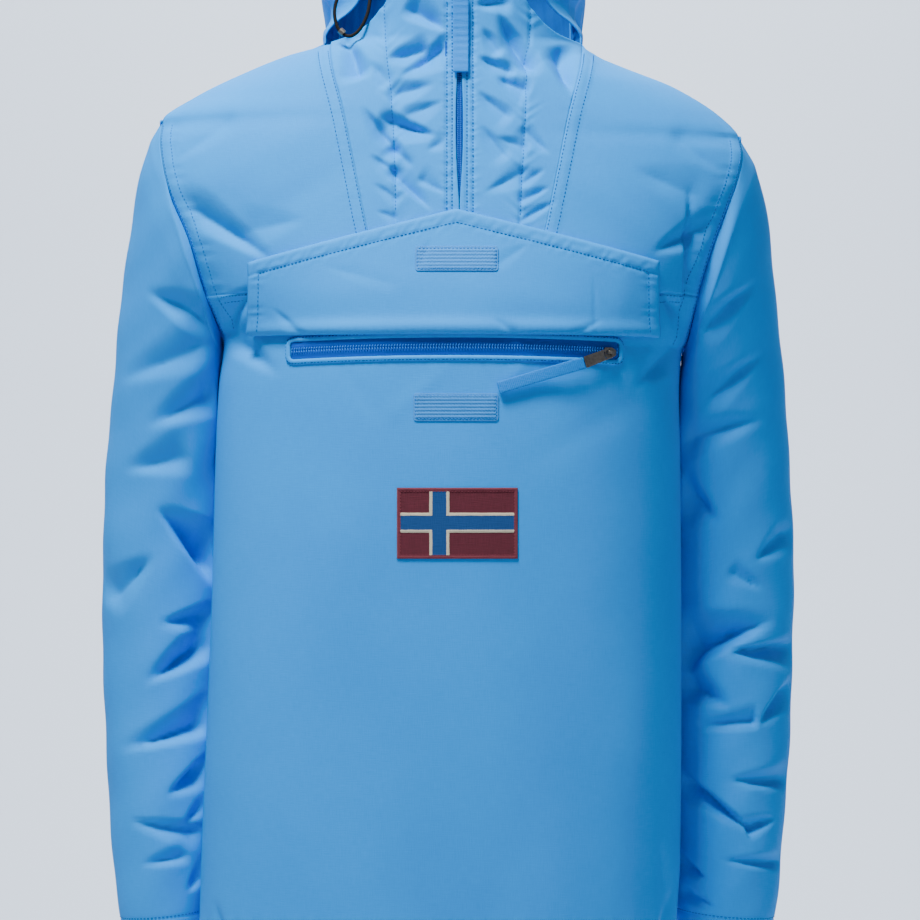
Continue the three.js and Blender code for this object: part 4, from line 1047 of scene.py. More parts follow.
leftSleeve["back"] = [
    crease(0.226, -0.410, 0.280, -0.446, 0.026, 0.010, 0.0080, 0.5),
    crease(0.272, -0.492, 0.210, -0.470, 0.012, 0.024, 0.0090, 0.5),
    crease(0.220, -0.556, 0.282, -0.534, 0.022, 0.010, 0.0080, 0.5),
    crease(0.274, -0.612, 0.206, -0.592, 0.020, 0.010, 0.0070, 0.5),
    crease(0.226, -0.668, 0.272, -0.654, 0.018, 0.009, 0.0060, 0.5),
    crease(0.262, -0.332, 0.212, -0.300, 0.024, 0.014, 0.0060, 0.5),
    crease(0.268, -0.236, 0.222, -0.200, 0.022, 0.012, 0.0050, 0.5),
]


def armholePoint(facts, turn):
    edge = facts["edge"]
    z = edge["shoulder"] + (edge["armpit"] - edge["shoulder"]) * (1 - np.cos(turn)) / 2
    s = facts["side"] + 0 * turn
    front, back = bodyPoint(z, s, "front"), bodyPoint(z, s, "back")
    points = np.where((turn <= math.pi)[..., None], front, back)
    points[..., 0] += facts["side"] * 0.0004
    return points


def clearOfSide(points, facts):
    # a sleeve lies against the body's side without touching it
    x, y, z = points[..., 0], points[..., 1], points[..., 2]
    gap = form["sleeveClearance"]
    depth = np.where(y < 0, valueAt(bodyDepth, "front", z), valueAt(bodyDepth, "back", z)) + gap
    power = 2 / form["roundness"]
    share = np.clip(np.abs(y) / depth, 0, 1)
    half = valueAt(facts["edge"], "half", z) * (1 - share ** power) ** (1 / power) + gap
    low = (z <= facts["edge"]["armpit"]) & (np.abs(x) < half)
    points[..., 0] = np.where(low, facts["side"] * half, x)
    return points


def sleeveRing(facts, at, turn):
    keys = ("outX", "outZ", "inX", "inZ", "midY", "halfY")
    part = {key: float(valueAt(facts, key, at, "row")) for key in keys}
    outer = np.array((facts["side"] * part["outX"], part["midY"], part["outZ"]))
    inner = np.array((facts["side"] * part["inX"], part["midY"], part["inZ"]))
    middle = (outer + inner) / 2
    points = middle + (outer - middle) * np.cos(turn)[:, None]
    points[:, 1] -= part["halfY"] * np.sin(turn)
    return clearOfSide(points, facts)


sleeveSurfaces = {}


def makeSleeve(name, node, facts):
    size = {"across": 150, "down": 250, "between": 2, "cut": (0.39, 0.60), "area": 0.222}
    turn = np.linspace(0, 2 * math.pi, size["across"] + 1)
    if facts["side"] < 0:
        turn = turn[::-1]
    rings = [armholePoint(facts, turn % (2 * math.pi))]
    rings += [sleeveRing(facts, k / size["between"], turn) for k in range(11 * size["between"] + 1)]
    rings = np.array(rings)

    def pointAt(v, u):
        # a smooth line through the rings
        at = v[:, 0] * (len(rings) - 1)
        k = np.minimum(at.astype(int), len(rings) - 2)
        t = (at - k)[:, None, None]
        a, b = rings[np.maximum(k - 1, 0)], rings[k]
        c, d = rings[k + 1], rings[np.minimum(k + 2, len(rings) - 1)]
        return between(a, b, c, d, t)

    def shape(points, normals, u, v):
        x, z = points[..., 0], points[..., 2]
        front = creaseDepth(facts["front"], x, z, 1.3) * smooth(-normals[..., 1], 0.05, 0.55)
        back = creaseDepth(facts["back"], x, z, 1.3) * smooth(normals[..., 1], 0.05, 0.55)
        high = 1.35 * (front + back)
        ends = smooth(v, 0.0, 0.08)
        fromBody = np.abs(x) - valueAt(facts["edge"], "half", z)
        high = high * smooth(fromBody, -0.003, 0.009)
        cuff = bell(v - 0.955, 0.004)
        tuck = bell(v, 0.006)
        swells = 0.0008 * np.sin(11 * z * 6.28 + 2.1 * np.sin(40 * x)) * np.sin(2 * math.pi * u * 3 + 30 * z)
        return high * ends + swells * ends - 0.0006 * cuff - 0.0008 * tuck

    sleeveSurfaces[name] = {"pointAt": pointAt, "shape": shape, "across": size["across"]}
    piece = clothGrid(name, size["across"], size["down"], pointAt, size["cut"], shape, ring=True)
    dress(piece, shellCloth, nodes=[node])
    return piece


makeSleeve("sleeveRight", "sleeve_right", rightSleeve)
makeSleeve("sleeveLeft", "sleeve_left", leftSleeve)
print("sleeves")

# Pocket flap, turned up
flap = {
    "left": 0.167, "right": -0.172, "bottom": -0.239, "corner": -0.176, "apex": -0.135,
    "lift": 0.005, "wall": 0.0024, "across": 212, "down": 62, "hem": 0.0115, "sideHem": 0.0095,
}
flapCreases = [
    crease(-0.150, -0.215, -0.128, -0.236, 0.006, 0.010, 0.0018),
    crease(0.030, -0.226, 0.046, -0.237, 0.008, 0.006, 0.0016),
    crease(0.118, -0.226, 0.098, -0.238, 0.008, 0.006, 0.0012),
    crease(0.112, -0.186, 0.113, -0.232, 0.006, 0.004, 0.0006),
    crease(0.060, -0.164, 0.036, -0.180, 0.010, 0.008, 0.0010),
    crease(-0.020, -0.160, -0.030, -0.182, 0.010, 0.008, 0.0008),
    crease(-0.110, -0.182, -0.060, -0.196, 0.014, 0.010, 0.0008),
]
flapSwells = [
    swell(-0.09, -0.205, 8, 0.05, 0.016, 0.0011),
    swell(0.06, -0.21, -6, 0.05, 0.014, 0.0010),
    swell(0.135, -0.205, 80, 0.03, 0.012, 0.0008),
    swell(-0.01, -0.232, 0, 0.05, 0.006, 0.0012),
    swell(0.075, -0.233, 0, 0.03, 0.006, 0.0010),
    swell(-0.10, -0.233, 0, 0.04, 0.006, 0.0010),
]


def flapTop(x):
    return flap["apex"] + (flap["corner"] - flap["apex"]) * np.abs(x) / flap["left"]


def flapRelief(x, z):
    fromTop, fromBottom = flapTop(x) - z, z - flap["bottom"]
    fromSide = np.minimum(x - flap["right"], flap["left"] - x)
    edge = np.minimum(np.minimum(fromTop, fromSide), fromBottom)
    inHem = (1 - smooth(fromTop, 0.0113, 0.0123)) + (1 - smooth(fromSide, 0.0093, 0.0103))
    topGroove = bell(fromTop - flap["hem"], 0.0013)
    sideGroove = bell(fromSide - flap["sideHem"], 0.0013) * smooth(fromTop, 0.008, 0.012)
    lean = x / 0.0125 + fromTop / 0.011 + 0.34 * np.sin(x * 150) + 0.2 * np.sin(x * 410)
    topRipple = np.sin(2 * math.pi * lean) * bell(fromTop - 0.009, 0.007)
    sideRipple = rippled(z, 0.010, 0.3, 230) * bell(fromSide - 0.008, 0.006)
    rounded = -0.0013 * bell(edge, 0.0014)
    roll = 0.0016 * bell(fromBottom - 0.006, 0.006)
    total = creaseDepth(flapCreases, x, z) + swellHeight(flapSwells, x, z)
    total += 0.0005 * np.clip(inHem, 0, 1) - 0.0006 * (topGroove + sideGroove)
    return total + 0.00026 * topRipple + 0.0002 * sideRipple + rounded + roll


def makeFlap():
    cut = (0.339, 0.104)

    def pointAt(v, u):
        x = flap["right"] + (flap["left"] - flap["right"]) * u
        z = flap["bottom"] + (flapTop(x) - flap["bottom"]) * v
        return onFront(x, z, flap["lift"] + 0 * x)

    def shape(points, normals, u, v):
        x = flap["right"] + (flap["left"] - flap["right"]) * u
        return flapRelief(x, flap["bottom"] + (flapTop(x) - flap["bottom"]) * v)

    piece = clothGrid("pocketFlap", flap["across"], flap["down"], pointAt, cut, shape, wall=flap["wall"])
    dress(piece, shellCloth, nodes=["pocket_flap"])
    return piece


makeFlap()


# Pieces that lie on the front, and the zip pocket
def layOn(name, fromX, toX, bottom, top, across, down, lift, cut, relief=None, wall=0.001, base=None):
    def places(v, u):
        x = fromX + (toX - fromX) * u
        low, high = bottom(x), top(x)
        return x, low + (high - low) * v

    def pointAt(v, u):
        x, z = places(v, u)
        return onFront(x, z, lift + (base or frontRelief)(x, z))

    def shape(points, normals, u, v):
        return relief(*places(v, u))

    return clothGrid(name, across, down, pointAt, cut, shape if relief else None, wall=wall)


hookTapes = {
    "hookTapeUpper": {
        "node": "hook_tape_upper", "onFlap": True,
        "x": 0.0003, "z": -0.177, "width": 0.068, "height": 0.0205,
    },
    "hookTapeLower": {
        "node": "hook_tape_lower", "onFlap": False,
        "x": -0.0003, "z": -0.2985, "width": 0.07, "height": 0.023,
    },
}


def makeHookTape(name, facts):
    halfX, halfZ, corner = facts["width"] / 2, facts["height"] / 2, 0.0025
    left, right = facts["x"] - halfX, facts["x"] + halfX
    lift = 0.0008 + (flap["lift"] if facts["onFlap"] else 0)

    def cornerCut(x):
        inset = np.clip(corner - np.minimum(x - left, right - x), 0, corner)
        return corner - np.sqrt(np.maximum(corner ** 2 - inset ** 2, 0))

    def relief(x, z):
        fromEnd = np.minimum(z - facts["z"] + halfZ, facts["z"] + halfZ - z)
        edge = np.minimum(np.minimum(x - left, right - x), fromEnd)
        border = smooth(edge, 0.0012, 0.0022)
        rows = np.sin(2 * math.pi * ((z - facts["z"]) / 0.0029 + 0.16 * np.sin(x * 2300)))
        return 0.00035 * border * rows + 0.0004 * border - 0.0003 * bell(edge - 0.0016, 0.0006)

    piece = layOn(
        name, left, right,
        lambda x: facts["z"] - halfZ + cornerCut(x), lambda x: facts["z"] + halfZ - cornerCut(x),
        90, 32, lift, (facts["width"], facts["height"]), relief, 0.0007,
        flapRelief if facts["onFlap"] else None,
    )
    dress(piece, hookCloth, nodes=[facts["node"]])
    return piece


for tapeName, tapeFacts in hookTapes.items():
    makeHookTape(tapeName, tapeFacts)

pocketZip = {"x": -0.0015, "z": -0.2515, "width": 0.271, "height": 0.015, "sag": 0.003, "lift": 0.0006}
pocketLip = {"wide": 0.0048, "high": 0.0021, "corner": 0.0035}


def zipRise(x):
    return pocketZip["sag"] * (1 - (2 * (x - pocketZip["x"]) / pocketZip["width"]) ** 2)


def makePocketTape():
    half = pocketZip["height"] / 2
    left, right = pocketZip["x"] - pocketZip["width"] / 2, pocketZip["x"] + pocketZip["width"] / 2

    def relief(x, z):
        off = z - pocketZip["z"] - zipRise(x)
        return 0.0004 * bell(np.abs(off) - 0.0033, 0.0011)

    piece = layOn(
        "pocketZipTape", left, right,
        lambda x: pocketZip["z"] - half + zipRise(x), lambda x: pocketZip["z"] + half + zipRise(x),
        150, 18, pocketZip["lift"], (0.271, 0.015), relief, 0.0008,
    )
    dress(piece, tapeCloth, nodes=["pocket_zip_tape"])


def makePocketLip():
    # the turned edge of the front's cloth round the zip's window
    facts = {"around": 320, "across": 8, "halfX": 0.1365, "halfZ": 0.0078}

    def outline(turnShare, out):
        halfX, halfZ, corner = facts["halfX"], facts["halfZ"], pocketLip["corner"]
        straightX, straightZ = 2 * (halfX - corner), 2 * (halfZ - corner)
        arc = corner * math.pi / 2
        total = 2 * (straightX + straightZ) + 4 * arc
        run = turnShare * total
        x, z = np.zeros_like(run), np.zeros_like(run)
        at = 0.0
        corners = [(halfX - corner, -halfZ + corner), (halfX - corner, halfZ - corner),
                   (-halfX + corner, halfZ - corner), (-halfX + corner, -halfZ + corner)]
        for k, (centreX, centreZ) in enumerate(corners):
            straight = straightX if k % 2 == 0 else straightZ
            beginX, beginZ = corners[k - 1]
            aim = k * math.pi / 2
            inLine = (run >= at) & (run < at + straight)
            t = run - at
            x = np.where(inLine, beginX + math.cos(aim) * t + math.sin(aim) * (corner + out), x)
            z = np.where(inLine, beginZ + math.sin(aim) * t - math.cos(aim) * (corner + out), z)
            at += straight
            inArc = (run >= at) & (run <= at + arc + 1e-9)
            turn = aim - math.pi / 2 + (run - at) / corner
            x = np.where(inArc, centreX + np.cos(turn) * (corner + out), x)
            z = np.where(inArc, centreZ + np.sin(turn) * (corner + out), z)
            at += arc
        return pocketZip["x"] + x, pocketZip["z"] + z

    def pointAt(v, u):
        share = v + 0 * u
        x, z = outline(u, -0.0006 + share * pocketLip["wide"])
        z = z + zipRise(x)
        ripple = 0.00025 * rippled(x, 0.009, 0.3, 160)
        arch = np.sin(math.pi * np.clip(0.12 + 0.88 * share, 0, 1)) ** 0.6
        high = pocketLip["high"] * arch + ripple * arch
        return onFront(x, z, frontRelief(x, z) + high)

    piece = clothGrid(
        "pocketLip", facts["around"], facts["across"], pointAt, (0.59, 0.0055),
        inward=True, ring=True, wall=0.0006,
    )
    dress(piece, shellCloth)
    return piece


makePocketTape()
makePocketLip()

# Flag patch: maroon ground and a blue cross edged with cream, in metres from its lower right corner
patch = {
    "x": 0.0008, "z": -0.394, "width": 0.0995, "height": 0.0585, "lift": 0.0008, "border": 0.0026,
    "crossX": 0.0350, "crossZ": 0.0297, "blueHalf": 0.0058, "creamHalf": 0.0082,
}


def makePatch():
    left, bottom = patch["x"] - patch["width"] / 2, patch["z"] - patch["height"] / 2

    def relief(x, z):
        u, v = x - left, z - bottom
        edge = np.minimum(np.minimum(u, patch["width"] - u), np.minimum(v, patch["height"] - v))
        cross = np.minimum(np.abs(u - patch["crossX"]), np.abs(v - patch["crossZ"]))
        rim = bell(edge - 0.0012, 0.0011)
        cream = (cross > patch["blueHalf"]) & (cross < patch["creamHalf"])
        raised = np.where(cream, 0.0005, np.where(cross <= patch["blueHalf"], 0.0003, 0))
        twill = 0.00012 * np.sin(2 * math.pi * (u + v) / 0.0021)
        return 0.0008 * rim + raised * smooth(edge, 0.002, 0.003) + twill

    piece = layOn(
        "flagPatch", left, left + patch["width"],
        lambda x: bottom + 0 * x, lambda x: bottom + patch["height"] + 0 * x,
        100, 60, patch["lift"], (patch["width"], patch["height"]), relief, 0.0009,
    )
    dress(piece, patchMaterial(), nodes=["flag_patch"])
    return piece


def patchMaterial():
    material, tree, shader = newMaterial("embroideredPatch", 0.72, Sheen_Weight=0.25)
    cut = put(tree, "ShaderNodeUVMap", uv_map="cut")
    parts = put(tree, "ShaderNodeSeparateXYZ", {0: cut.outputs[0]})
    weave = put(tree, "ShaderNodeGroup", node_tree=weaveGroup)
    tree.links.new(cut.outputs[0], weave.inputs["Vector"])
    weave.inputs["Threads"].default_value = 1500

    def reckon(kind, first, second=0.0):
        return put(tree, "ShaderNodeMath", {0: first, 1: second}, operation=kind).outputs[0]

    ragged = reckon("MULTIPLY", reckon("SUBTRACT", weave.outputs["Shade"], 0.5), 0.0012)
    offX = reckon("ABSOLUTE", reckon("SUBTRACT", parts.outputs[0], patch["crossX"]))
    offZ = reckon("ABSOLUTE", reckon("SUBTRACT", parts.outputs[1], patch["crossZ"]))
    cross = reckon("ADD", reckon("MINIMUM", offX, offZ), ragged)
    fromSide = reckon("MINIMUM", parts.outputs[0], reckon("SUBTRACT", patch["width"], parts.outputs[0]))
    fromEnd = reckon("MINIMUM", parts.outputs[1], reckon("SUBTRACT", patch["height"], parts.outputs[1]))
    edge = reckon("MINIMUM", fromSide, fromEnd)
    inside = reckon("GREATER_THAN", edge, patch["border"] + 0.0004)
    isCream = reckon("MULTIPLY", reckon("LESS_THAN", cross, patch["creamHalf"]), inside)
    isBlue = reckon("MULTIPLY", reckon("LESS_THAN", cross, patch["blueHalf"]), inside)
    ground = mixColour(tree, weave.outputs["Shade"], colour(0.050, 0.006, 0.012), colour(0.155, 0.020, 0.034))
    rim = mixColour(tree, weave.outputs["Shade"], colour(0.085, 0.012, 0.020), colour(0.235, 0.040, 0.058))
    cream = mixColour(tree, weave.outputs["Shade"], colour(0.40, 0.32, 0.21), colour(0.78, 0.68, 0.50))
    blue = mixColour(tree, weave.outputs["Shade"], colour(0.002, 0.035, 0.13), colour(0.010, 0.075, 0.25))
    base = mixColour(tree, inside, rim, ground)
    base = mixColour(tree, isCream, base, cream)
    base = mixColour(tree, isBlue, base, blue)
    tree.links.new(base, shader.inputs["Base Color"])
    bumps = {"Height": weave.outputs["Height"], "Strength": 0.9, "Distance": 0.0005}
    bump = put(tree, "ShaderNodeBump", bumps)
    tree.links.new(bump.outputs[0], shader.inputs["Normal"])
    return material


makePatch()
print("flap, tapes, pocket zip and patch")


# Zip coils: small links in two rows along a line on the front
def makeCoil(name, line, pitch, apart, size, material):
    bm = bmesh.new()
    for point, aim, out in zip(*alongLine(line, pitch)):
        across = np.cross(out, aim)
        for side in (-1, 1):
            middle = point + across * apart * side
            lean = aim * 0.25 * side + across
            lean /= np.linalg.norm(lean)
            place = squeezed(middle, lean, aim, out, size)
            bmesh.ops.create_icosphere(bm, subdivisions=1, radius=1, matrix=place)
    piece = addObject(name, bm)
    return dress(piece, material)


def squeezed(middle, first, second, third, size):
    rows = np.zeros((4, 4))
    rows[:3, 0], rows[:3, 1], rows[:3, 2] = first * size[0], second * size[1], third * size[2]
    rows[:3, 3] = middle
    rows[3, 3] = 1
    return Matrix(rows.tolist())


def alongLine(line, pitch, start=0.5):
    # places every pitch along a line, with its direction and the way out of the cloth
    t = np.linspace(0, 1, 500)
    points = line(t, 0.0)
    run = np.concatenate([[0], np.cumsum(np.linalg.norm(np.diff(points, axis=0), axis=1))])
    count = max(int(run[-1] / pitch), 1)
    share = np.interp((np.arange(count) + start) * run[-1] / count, run, t)
    here = line(share, 0.0)
    aims = line(np.minimum(share + 0.002, 1), 0.0) - line(np.maximum(share - 0.002, 0), 0.0)
    aims /= np.linalg.norm(aims, axis=1, keepdims=True)
    outs = line(share, 0.001) - here
    outs /= np.linalg.norm(outs, axis=1, keepdims=True)
    return here, aims, outs


def faceLine(points, relief=frontRelief, base=0.0, face="front"):
    # a line over points in x and z, on the relief of the cloth below it
    points = np.array(points, float)
    run = np.concatenate([[0], np.cumsum(np.hypot(*np.diff(points, axis=0).T))])

    def line(t, lift):
        x, z = np.interp(t * run[-1], run, points[:, 0]), np.interp(t * run[-1], run, points[:, 1])
        return offFace(x, z, face, base + lift + relief(x, z))

    return line


sewing = {"pitch": 0.0034, "half": (0.00128, 0.00048, 0.0004), "sink": 0.0001}


def makeStitches(name, lines, material=threadCloth, pitch=None, half=None):
    bm = bmesh.new()
    for line in lines:
        for point, aim, out in zip(*alongLine(line, pitch or sewing["pitch"])):
            across = np.cross(out, aim)
            place = squeezed(point + out * sewing["sink"], aim, across, out, half or sewing["half"])
            bmesh.ops.create_icosphere(bm, subdivisions=1, radius=1, matrix=place)
    return dress(addObject(name, bm), material)


def halfAt(edge, z):
    return float(valueAt(edge, "half", z))


def edgeLine(edge, side, inset, face):
    top = edge["shoulder"] - (0.004 if face == "front" else 0.010)
    levels = np.linspace(edge["armpit"] + 0.006, top, 24)
    points = [(side * (halfAt(edge, z) - inset), float(z)) for z in levels]
    return faceLine(points, frontRelief if face == "front" else backRelief, 0.0, face)


def straightLine(a, b, relief=frontRelief, base=0.0, face="front"):
    return faceLine([a, b], relief, base, face)


frontLines = []
for side, puckers in ((-1, puckerRight), (1, puckerLeft)):
    frontLines.append(faceLine([(x, z) for x, z in puckers if z > -0.16]))
    for offset in neckSeamRows:
        levels = np.linspace(-0.155, 0.002, 14)
        seam = [(side * (float(valueAt(neckSeamLine, "x", z)) + offset), z) for z in levels]
        frontLines.append(faceLine(seam))
placketSewing = [straightLine((points[0][0], 0.080), (points[0][0], -0.140)) for points in placketLines]
makeStitches("stitchesPlacket", placketSewing, darkThread, 0.0029, (0.00115, 0.0006, 0.00045))
hemZ = form["hem"] + form["hemStitch"]
frontHem = straightLine((-halfAt(rightEdge, hemZ) + 0.016, hemZ), (halfAt(leftEdge, hemZ) - 0.016, hemZ))
frontLines.append(frontHem)
for z in (-0.2046, -0.2102):
    frontLines.append(straightLine((-halfAt(rightEdge, z) + 0.012, z), (flap["right"] - 0.0005, z)))
    frontLines.append(straightLine((flap["left"] + 0.0005, z), (halfAt(leftEdge, z) - 0.012, z)))
makeStitches("stitchesFront", frontLines)
armholeLines = [
    edgeLine(edge, side, inset, face)
    for edge, side in ((rightEdge, -1), (leftEdge, 1))
    for inset in (0.0015, 0.0096)
    for face in ("front", "back")
]
makeStitches("stitchesArmholes", armholeLines)
backHem = straightLine(
    (-halfAt(rightEdge, hemZ) + 0.006, hemZ), (halfAt(leftEdge, hemZ) - 0.006, hemZ), backRelief, 0.0, "back"
)
makeStitches("stitchesBack", [backHem])


def flapLine(points):
    return faceLine(points, flapRelief, flap["lift"])


def flapHemAt(x):
    return (x, flapTop(x) - flap["hem"])


rightX, leftX, sideEnd = flap["right"] + flap["sideHem"], flap["left"] - flap["sideHem"], -0.2355
flapLines = [
    flapLine([flapHemAt(rightX), flapHemAt(0), flapHemAt(leftX)]),
    flapLine([flapHemAt(rightX), (rightX, sideEnd)]),
    flapLine([flapHemAt(leftX), (leftX, sideEnd)]),
]
makeStitches("stitchesFlap", flapLines)


def roundedBox(x, z, halfX, halfZ, corner, rise=None):
    points = []
    for k, (signX, signZ) in enumerate(((1, -1), (1, 1), (-1, 1), (-1, -1))):
        for step in range(5):
            turn = (k - 1) * math.pi / 2 + step * math.pi / 8
            points.append((x + signX * (halfX - corner) + corner * math.cos(turn),
                           z + signZ * (halfZ - corner) + corner * math.sin(turn)))
    count = 24
    line = []
    for (ax, az), (bx, bz) in zip(points, points[1:] + points[:1]):
        steps = count if math.hypot(bx - ax, bz - az) > 0.05 else 1
        line += [(ax + (bx - ax) * s / steps, az + (bz - az) * s / steps) for s in range(steps)]
    line.append(points[0])
    return [(px, pz + (float(rise(px)) if rise else 0)) for px, pz in line]


def lipRelief(x, z):
    return frontRelief(x, z) + 0.0014


pocketEdge = roundedBox(pocketZip["x"], pocketZip["z"], 0.1392, 0.0106, 0.005, zipRise)
makeStitches("stitchesPocket", [faceLine(pocketEdge, lipRelief)], darkThread, 0.0030)
tapeLines = []
for facts in hookTapes.values():
    halfX, halfZ = facts["width"] / 2 - 0.0017, facts["height"] / 2 - 0.0017
    border = roundedBox(facts["x"], facts["z"], halfX, halfZ, 0.002)
    base = 0.0008 + (flap["lift"] if facts["onFlap"] else 0)
    tapeLines.append(faceLine(border, flapRelief if facts["onFlap"] else frontRelief, base))
makeStitches("stitchesTapes", tapeLines, webCloth, 0.003)
halfX, halfZ = patch["width"] / 2 - 0.0030, patch["height"] / 2 - 0.0030
patchLine = faceLine(roundedBox(patch["x"], patch["z"], halfX, halfZ, 0.001), frontRelief, 0.0011)
makeStitches("stitchesPatch", [patchLine], patchThread, 0.0026, (0.001, 0.0003, 0.0003))


def cuffLine(sleeve):
    # the hem's stitches, on the sleeve's own folds
    u = np.broadcast_to(np.linspace(0, 1, sleeve["across"] + 1), (3, sleeve["across"] + 1))
    v = np.array((0.948, 0.952, 0.956))[:, None] + 0 * u
    points = sleeve["pointAt"](v, u)
    normals = gridNormals(points, True)
    high = sleeve["shape"](points, normals, u, v)
    ring, out = (points + normals * high[..., None])[1], normals[1]

    def line(t, lift):
        at = t * (len(ring) - 1)
        here = np.stack([np.interp(at, range(len(ring)), ring[:, axis]) for axis in range(3)], axis=1)
        away = np.stack([np.interp(at, range(len(ring)), out[:, axis]) for axis in range(3)], axis=1)
        return here + away * lift

    return line


cuffLines = [cuffLine(sleeve) for sleeve in sleeveSurfaces.values()]
makeStitches("stitchesCuffs", cuffLines)
print("stitches")


# Zips
def zipLine(fromX, toX):
    points = [(x, pocketZip["z"] + float(zipRise(x))) for x in np.linspace(fromX, toX, 24)]
    return faceLine(points, frontRelief, 0.0016)


makeCoil("pocketCoil", zipLine(-0.1365, 0.1335), 0.0023, 0.0012, (0.0013, 0.00062, 0.0007), coilCloth)
neckTape = {"half": 0.012, "bottom": -0.196, "top": 0.082, "lift": -0.0031}


def makeNeckTape():
    def pointAt(v, u):
        x = form["zipX"] + neckTape["half"] * (2 * u - 1)
        z = neckTape["bottom"] + (neckTape["top"] - neckTape["bottom"]) * v
        return onFront(x + 0 * z, z + 0 * x, neckTape["lift"] + 0 * x)

    piece = clothGrid("neckZipTape", 10, 80, pointAt, (0.024, 0.279), None, wall=0.0009)
    dress(piece, tapeCloth, nodes=["neck_zip_tape"])


makeNeckTape()
neckRun = faceLine([(form["zipX"], -0.135), (form["zipX"], 0.081)], lambda x, z: 0 * x, -0.0020)
makeCoil("neckCoil", neckRun, 0.0018, 0.0011, (0.0012, 0.0005, 0.0006), coilCloth)


def pullFrame(x, z, lift, degrees):
    # x along the pull and z out of the cloth
    origin = onFront(x, z, lift)
    out = onFront(x, z, lift + 0.001) - origin
    out /= np.linalg.norm(out)
    turn = math.radians(degrees)
    aim = np.array((math.cos(turn), 0, math.sin(turn)))
    aim -= out * aim.dot(out)
    aim /= np.linalg.norm(aim)
    return squeezed(origin, aim, np.cross(out, aim), out, (1, 1, 1))


slider = {"length": 0.011, "width": 0.0086, "wall": 0.0018, "post": 0.0026}
tab = {
    "bar": 0.0006, "window": 0.0072, "railIn": 0.003, "railOut": 0.0044,
    "length": 0.027, "end": 0.005, "wall": 0.0013,
}
lieGap = 0.00035
neckPivotLift = lieGap + slider["wall"] + slider["post"] / 2
pocketPivotLift = neckPivotLift + lieGap + 0.0013


def roundedLoop(corners, soft, steps=5):
    # a loop with its corners rounded, always the same number of points a corner
    loop = []
    corners = [Vector(corner) for corner in corners]
    for k, corner in enumerate(corners):
        before, after = corners[k - 1] - corner, corners[(k + 1) % len(corners)] - corner
        reach = min(soft, before.length / 2.2, after.length / 2.2)
        a, b = corner + before.normalized() * reach, corner + after.normalized() * reach
        for step in range(steps):
            t = step / (steps - 1)
            loop.append(a * (1 - t) ** 2 + corner * 2 * t * (1 - t) + b * t * t)
    return loop


def loopPlate(bm, outer, inner, low, high):
    # a plate between two loops, its edges softened
    count = len(outer)
    made = bmesh.ops.create_grid(bm, x_segments=count, y_segments=1, size=0.5)["verts"]
    for vert in made:
        k, isInner = round((vert.co.x + 0.5) * count) % count, vert.co.y > 0
        spot = inner[k] if isInner else outer[k]
        vert.co = (spot.x, spot.y, low)
    bmesh.ops.remove_doubles(bm, verts=made, dist=1e-7)
    faces = [face for face in bm.faces if all(abs(vert.co.z - low) < 1e-9 for vert in face.verts)]
    lifted = bmesh.ops.extrude_face_region(bm, geom=faces)["geom"]
    raised = [part for part in lifted if isinstance(part, bmesh.types.BMVert)]
    bmesh.ops.translate(bm, verts=raised, vec=(0, 0, high - low))
    bmesh.ops.recalc_face_normals(bm, faces=bm.faces)


def shrunk(loop, amount):
    middle = sum(loop, Vector((0, 0))) / len(loop)
    return [spot + (middle - spot) * amount for spot in loop]


def bevelled(bm, offset, angle=0.7):
    sharp = [edge for edge in bm.edges if edge.is_manifold and edge.calc_face_angle(0) > angle]
    bmesh.ops.bevel(bm, geom=sharp, offset=offset, segments=2, profile=0.5, affect="EDGES", material=-1)


def hardPiece(name, parts, place, body, nodes):
    piece = addObject(name, joined(parts))
    piece.data.transform(place)
    for polygon in piece.data.polygons:
        polygon.use_smooth = False
    return dress(piece, darkNickel, body, nodes)


def joined(parts):
    whole = bmesh.new()
    for part in parts:
        mesh = bpy.data.meshes.new("part")
        part.to_mesh(mesh)
        part.free()
        whole.from_mesh(mesh)
        bpy.data.meshes.remove(mesh)
    return whole


def sliderParts():
    half, long = slider["width"] / 2, slider["length"] / 2
    top = -slider["post"] / 2
    corners = [(-long, -half * 0.5), (-long * 0.3, -half), (long * 0.85, -half), (long, -half * 0.6),
               (long, half * 0.6), (long * 0.85, half), (-long * 0.3, half), (-long, half * 0.5)]
    outer = roundedLoop(corners, 0.0012)
    base, rim, arch = bmesh.new(), bmesh.new(), bmesh.new()
    loopPlate(base, outer, shrunk(outer, 0.97), top - slider["wall"], top)
    loopPlate(rim, shrunk(outer, 0.06), shrunk(outer, 0.30), top, top + 0.00035)
    bevelled(base, 0.0002)
    bevelled(rim, 0.0001)
    bmesh.ops.create_grid(arch, x_segments=16, y_segments=2, size=0.5)
    for vert in arch.verts:
        t, across = vert.co.x * 2, vert.co.y * 2
        rise = (slider["post"] + 0.0004) * (1 - abs(t) ** 3.2)
        vert.co = (t * 0.0041, across * 0.0012, top + rise)
    bmesh.ops.solidify(arch, geom=arch.faces[:], thickness=-0.0008)
    bmesh.ops.recalc_face_normals(arch, faces=arch.faces)
    bevelled(arch, 0.00016)
    return [base, rim, arch]


